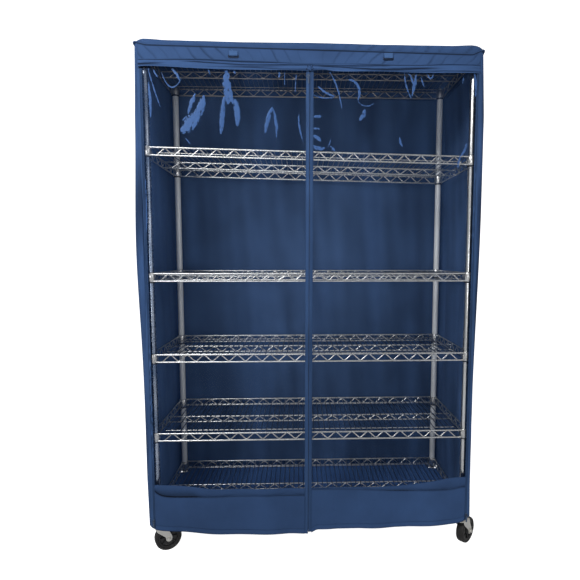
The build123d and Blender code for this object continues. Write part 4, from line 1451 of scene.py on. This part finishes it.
def build_straps():
    """Two short straps, each folded round a ladder buckle."""
    forward = 2.2 * MM
    for side in ("left", "right"):
        body = f"strap_{side}"
        low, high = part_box(body)
        bar_low, bar_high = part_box(f"{body}_buckle")
        x = (low.x + high.x) / 2
        bar = Vector((0, (bar_low.y + bar_high.y) / 2, bar_high.z - 1.2 * MM))
        shape = strap_shape(high.y - 0.6 * MM, high.z, bar).moved(shift(x, -forward, 0))
        strap = piece(f"{body}_webbing", shape, WEBBING, body, body, sharp_angle=50)
        bevel(strap, 0.3 * MM, 2, 60)
        y, left, right, foot = bar.y - forward, x - 17 * MM, x + 17 * MM, bar.z - 9 * MM
        loop = [(left, y, bar.z), (right, y, bar.z), (right, y, foot), (left, y, foot)]
        buckle = tube(fillet_path(loop + loop[:2], 2.5 * MM, 4)[1:-1], 1.6 * MM, 12)
        middle = (bar.z + foot) / 2
        buckle.join(straight((left, y, middle), (right, y, middle), 1.3 * MM))
        piece(f"{body}_ladder_buckle", buckle, DARK_METAL, body, f"{body}_buckle")


# ---------------------------------------------------------------- stage, light and camera
def build_stage():
    """A pale floor that curves up into a backdrop, and an even white surround."""
    s = Surface("pale_floor")
    seen = s.nodes.new("ShaderNodeLightPath").outputs["Is Camera Ray"]
    s.put(s.shader, Base_Color=grey(0.80), Roughness=0.9, Emission_Color=grey(1.0))
    s.put(s.shader, Emission_Strength=s.math("MULTIPLY", seen, 1.0))
    far, back, height, bend, turns = 14.0, 5.0, 9.0, 2.0, 12
    angles = [math.pi / 2 * n / turns for n in range(turns + 1)]
    profile = [(-far, 0.0)] + [(back + bend * math.sin(a), bend - bend * math.cos(a)) for a in angles]
    profile.append((back + bend, height))
    floor = Shape()
    verts = [(x, y, z) for y, z in profile for x in (-far, far)]
    floor.add(verts, [(2 * n, 2 * n + 1, 2 * n + 3, 2 * n + 2) for n in range(len(profile) - 1)])
    piece("studio_backdrop", floor, s.material, None)
    world = bpy.data.worlds.new("studio")
    bpy.context.scene.world = world
    world.use_nodes = True
    nodes, links = world.node_tree.nodes, world.node_tree.links
    background = nodes["Background"]
    background.inputs["Color"].default_value = (1.0, 1.0, 1.0, 1)
    seen = nodes.new("ShaderNodeLightPath").outputs["Is Camera Ray"]
    extra = math_node(nodes, links, "MULTIPLY", seen, 1 - WORLD_LIGHT)
    strength = math_node(nodes, links, "ADD", extra, WORLD_LIGHT)
    links.new(strength, background.inputs["Strength"])


def soft_light(name, place, target, size, power, spread=180):
    light = bpy.data.lights.new(name, "AREA")
    light.shape = "RECTANGLE"
    light.size, light.size_y = size
    light.energy = power
    light.spread = math.radians(spread)
    obj = bpy.data.objects.new(name, light)
    obj.location = place
    obj.rotation_mode = "QUATERNION"
    obj.rotation_quaternion = (Vector(target) - Vector(place)).to_track_quat("-Z", "Y")
    bpy.context.scene.collection.objects.link(obj)


def build_lights():
    soft_light("key", (-1.7, -2.7, 3.2), (0, 0, 1.2), (1.6, 1.2), 80)
    soft_light("fill", (2.6, -3.2, 1.6), (0, 0, 0.9), (1.4, 2.0), 18)
    soft_light("front", (-0.5, -3.0, 1.0), (-0.1, 0.24, 1.75), (0.9, 0.7), 1.7, 50)


def build_camera():
    """The viewpoint, a little left of the middle and just above mid height."""
    pitch, yaw = 0.0890, 0.0359
    camera = bpy.data.cameras.new("camera")
    camera.lens = 29.71
    camera.sensor_width = 36
    camera.shift_x, camera.shift_y = -0.0479, 0.0198
    camera.clip_start, camera.clip_end = 0.05, 60
    obj = bpy.data.objects.new("camera", camera)
    ahead = Vector((math.sin(yaw) * math.cos(pitch), math.cos(yaw) * math.cos(pitch), -math.sin(pitch)))
    obj.location = (-0.0406, -2.0184, 1.1394)
    obj.rotation_mode = "QUATERNION"
    obj.rotation_quaternion = ahead.to_track_quat("-Z", "Y")
    bpy.context.scene.collection.objects.link(obj)
    bpy.context.scene.camera = obj
    bpy.context.scene.view_settings.view_transform = "Standard"


# ---------------------------------------------------------------- build everything
build_posts()
build_shelves()
build_casters()
build_walls()
build_lid()
build_valance()
build_zip_tuck()
for door in ("left", "right"):
    build_window(door)
    build_skirt(door)
    build_zip_flaps(door)
build_side_tapes()
build_under_shelf_flap()
build_zip_hardware()
build_straps()
for node_name in ("post_inserts", "caster_bearing_balls"):
    frame["nodes"][node_name].data.materials.clear()
    frame["nodes"][node_name].data.materials.append(ZINC)
build_stage()
build_lights()
build_camera()
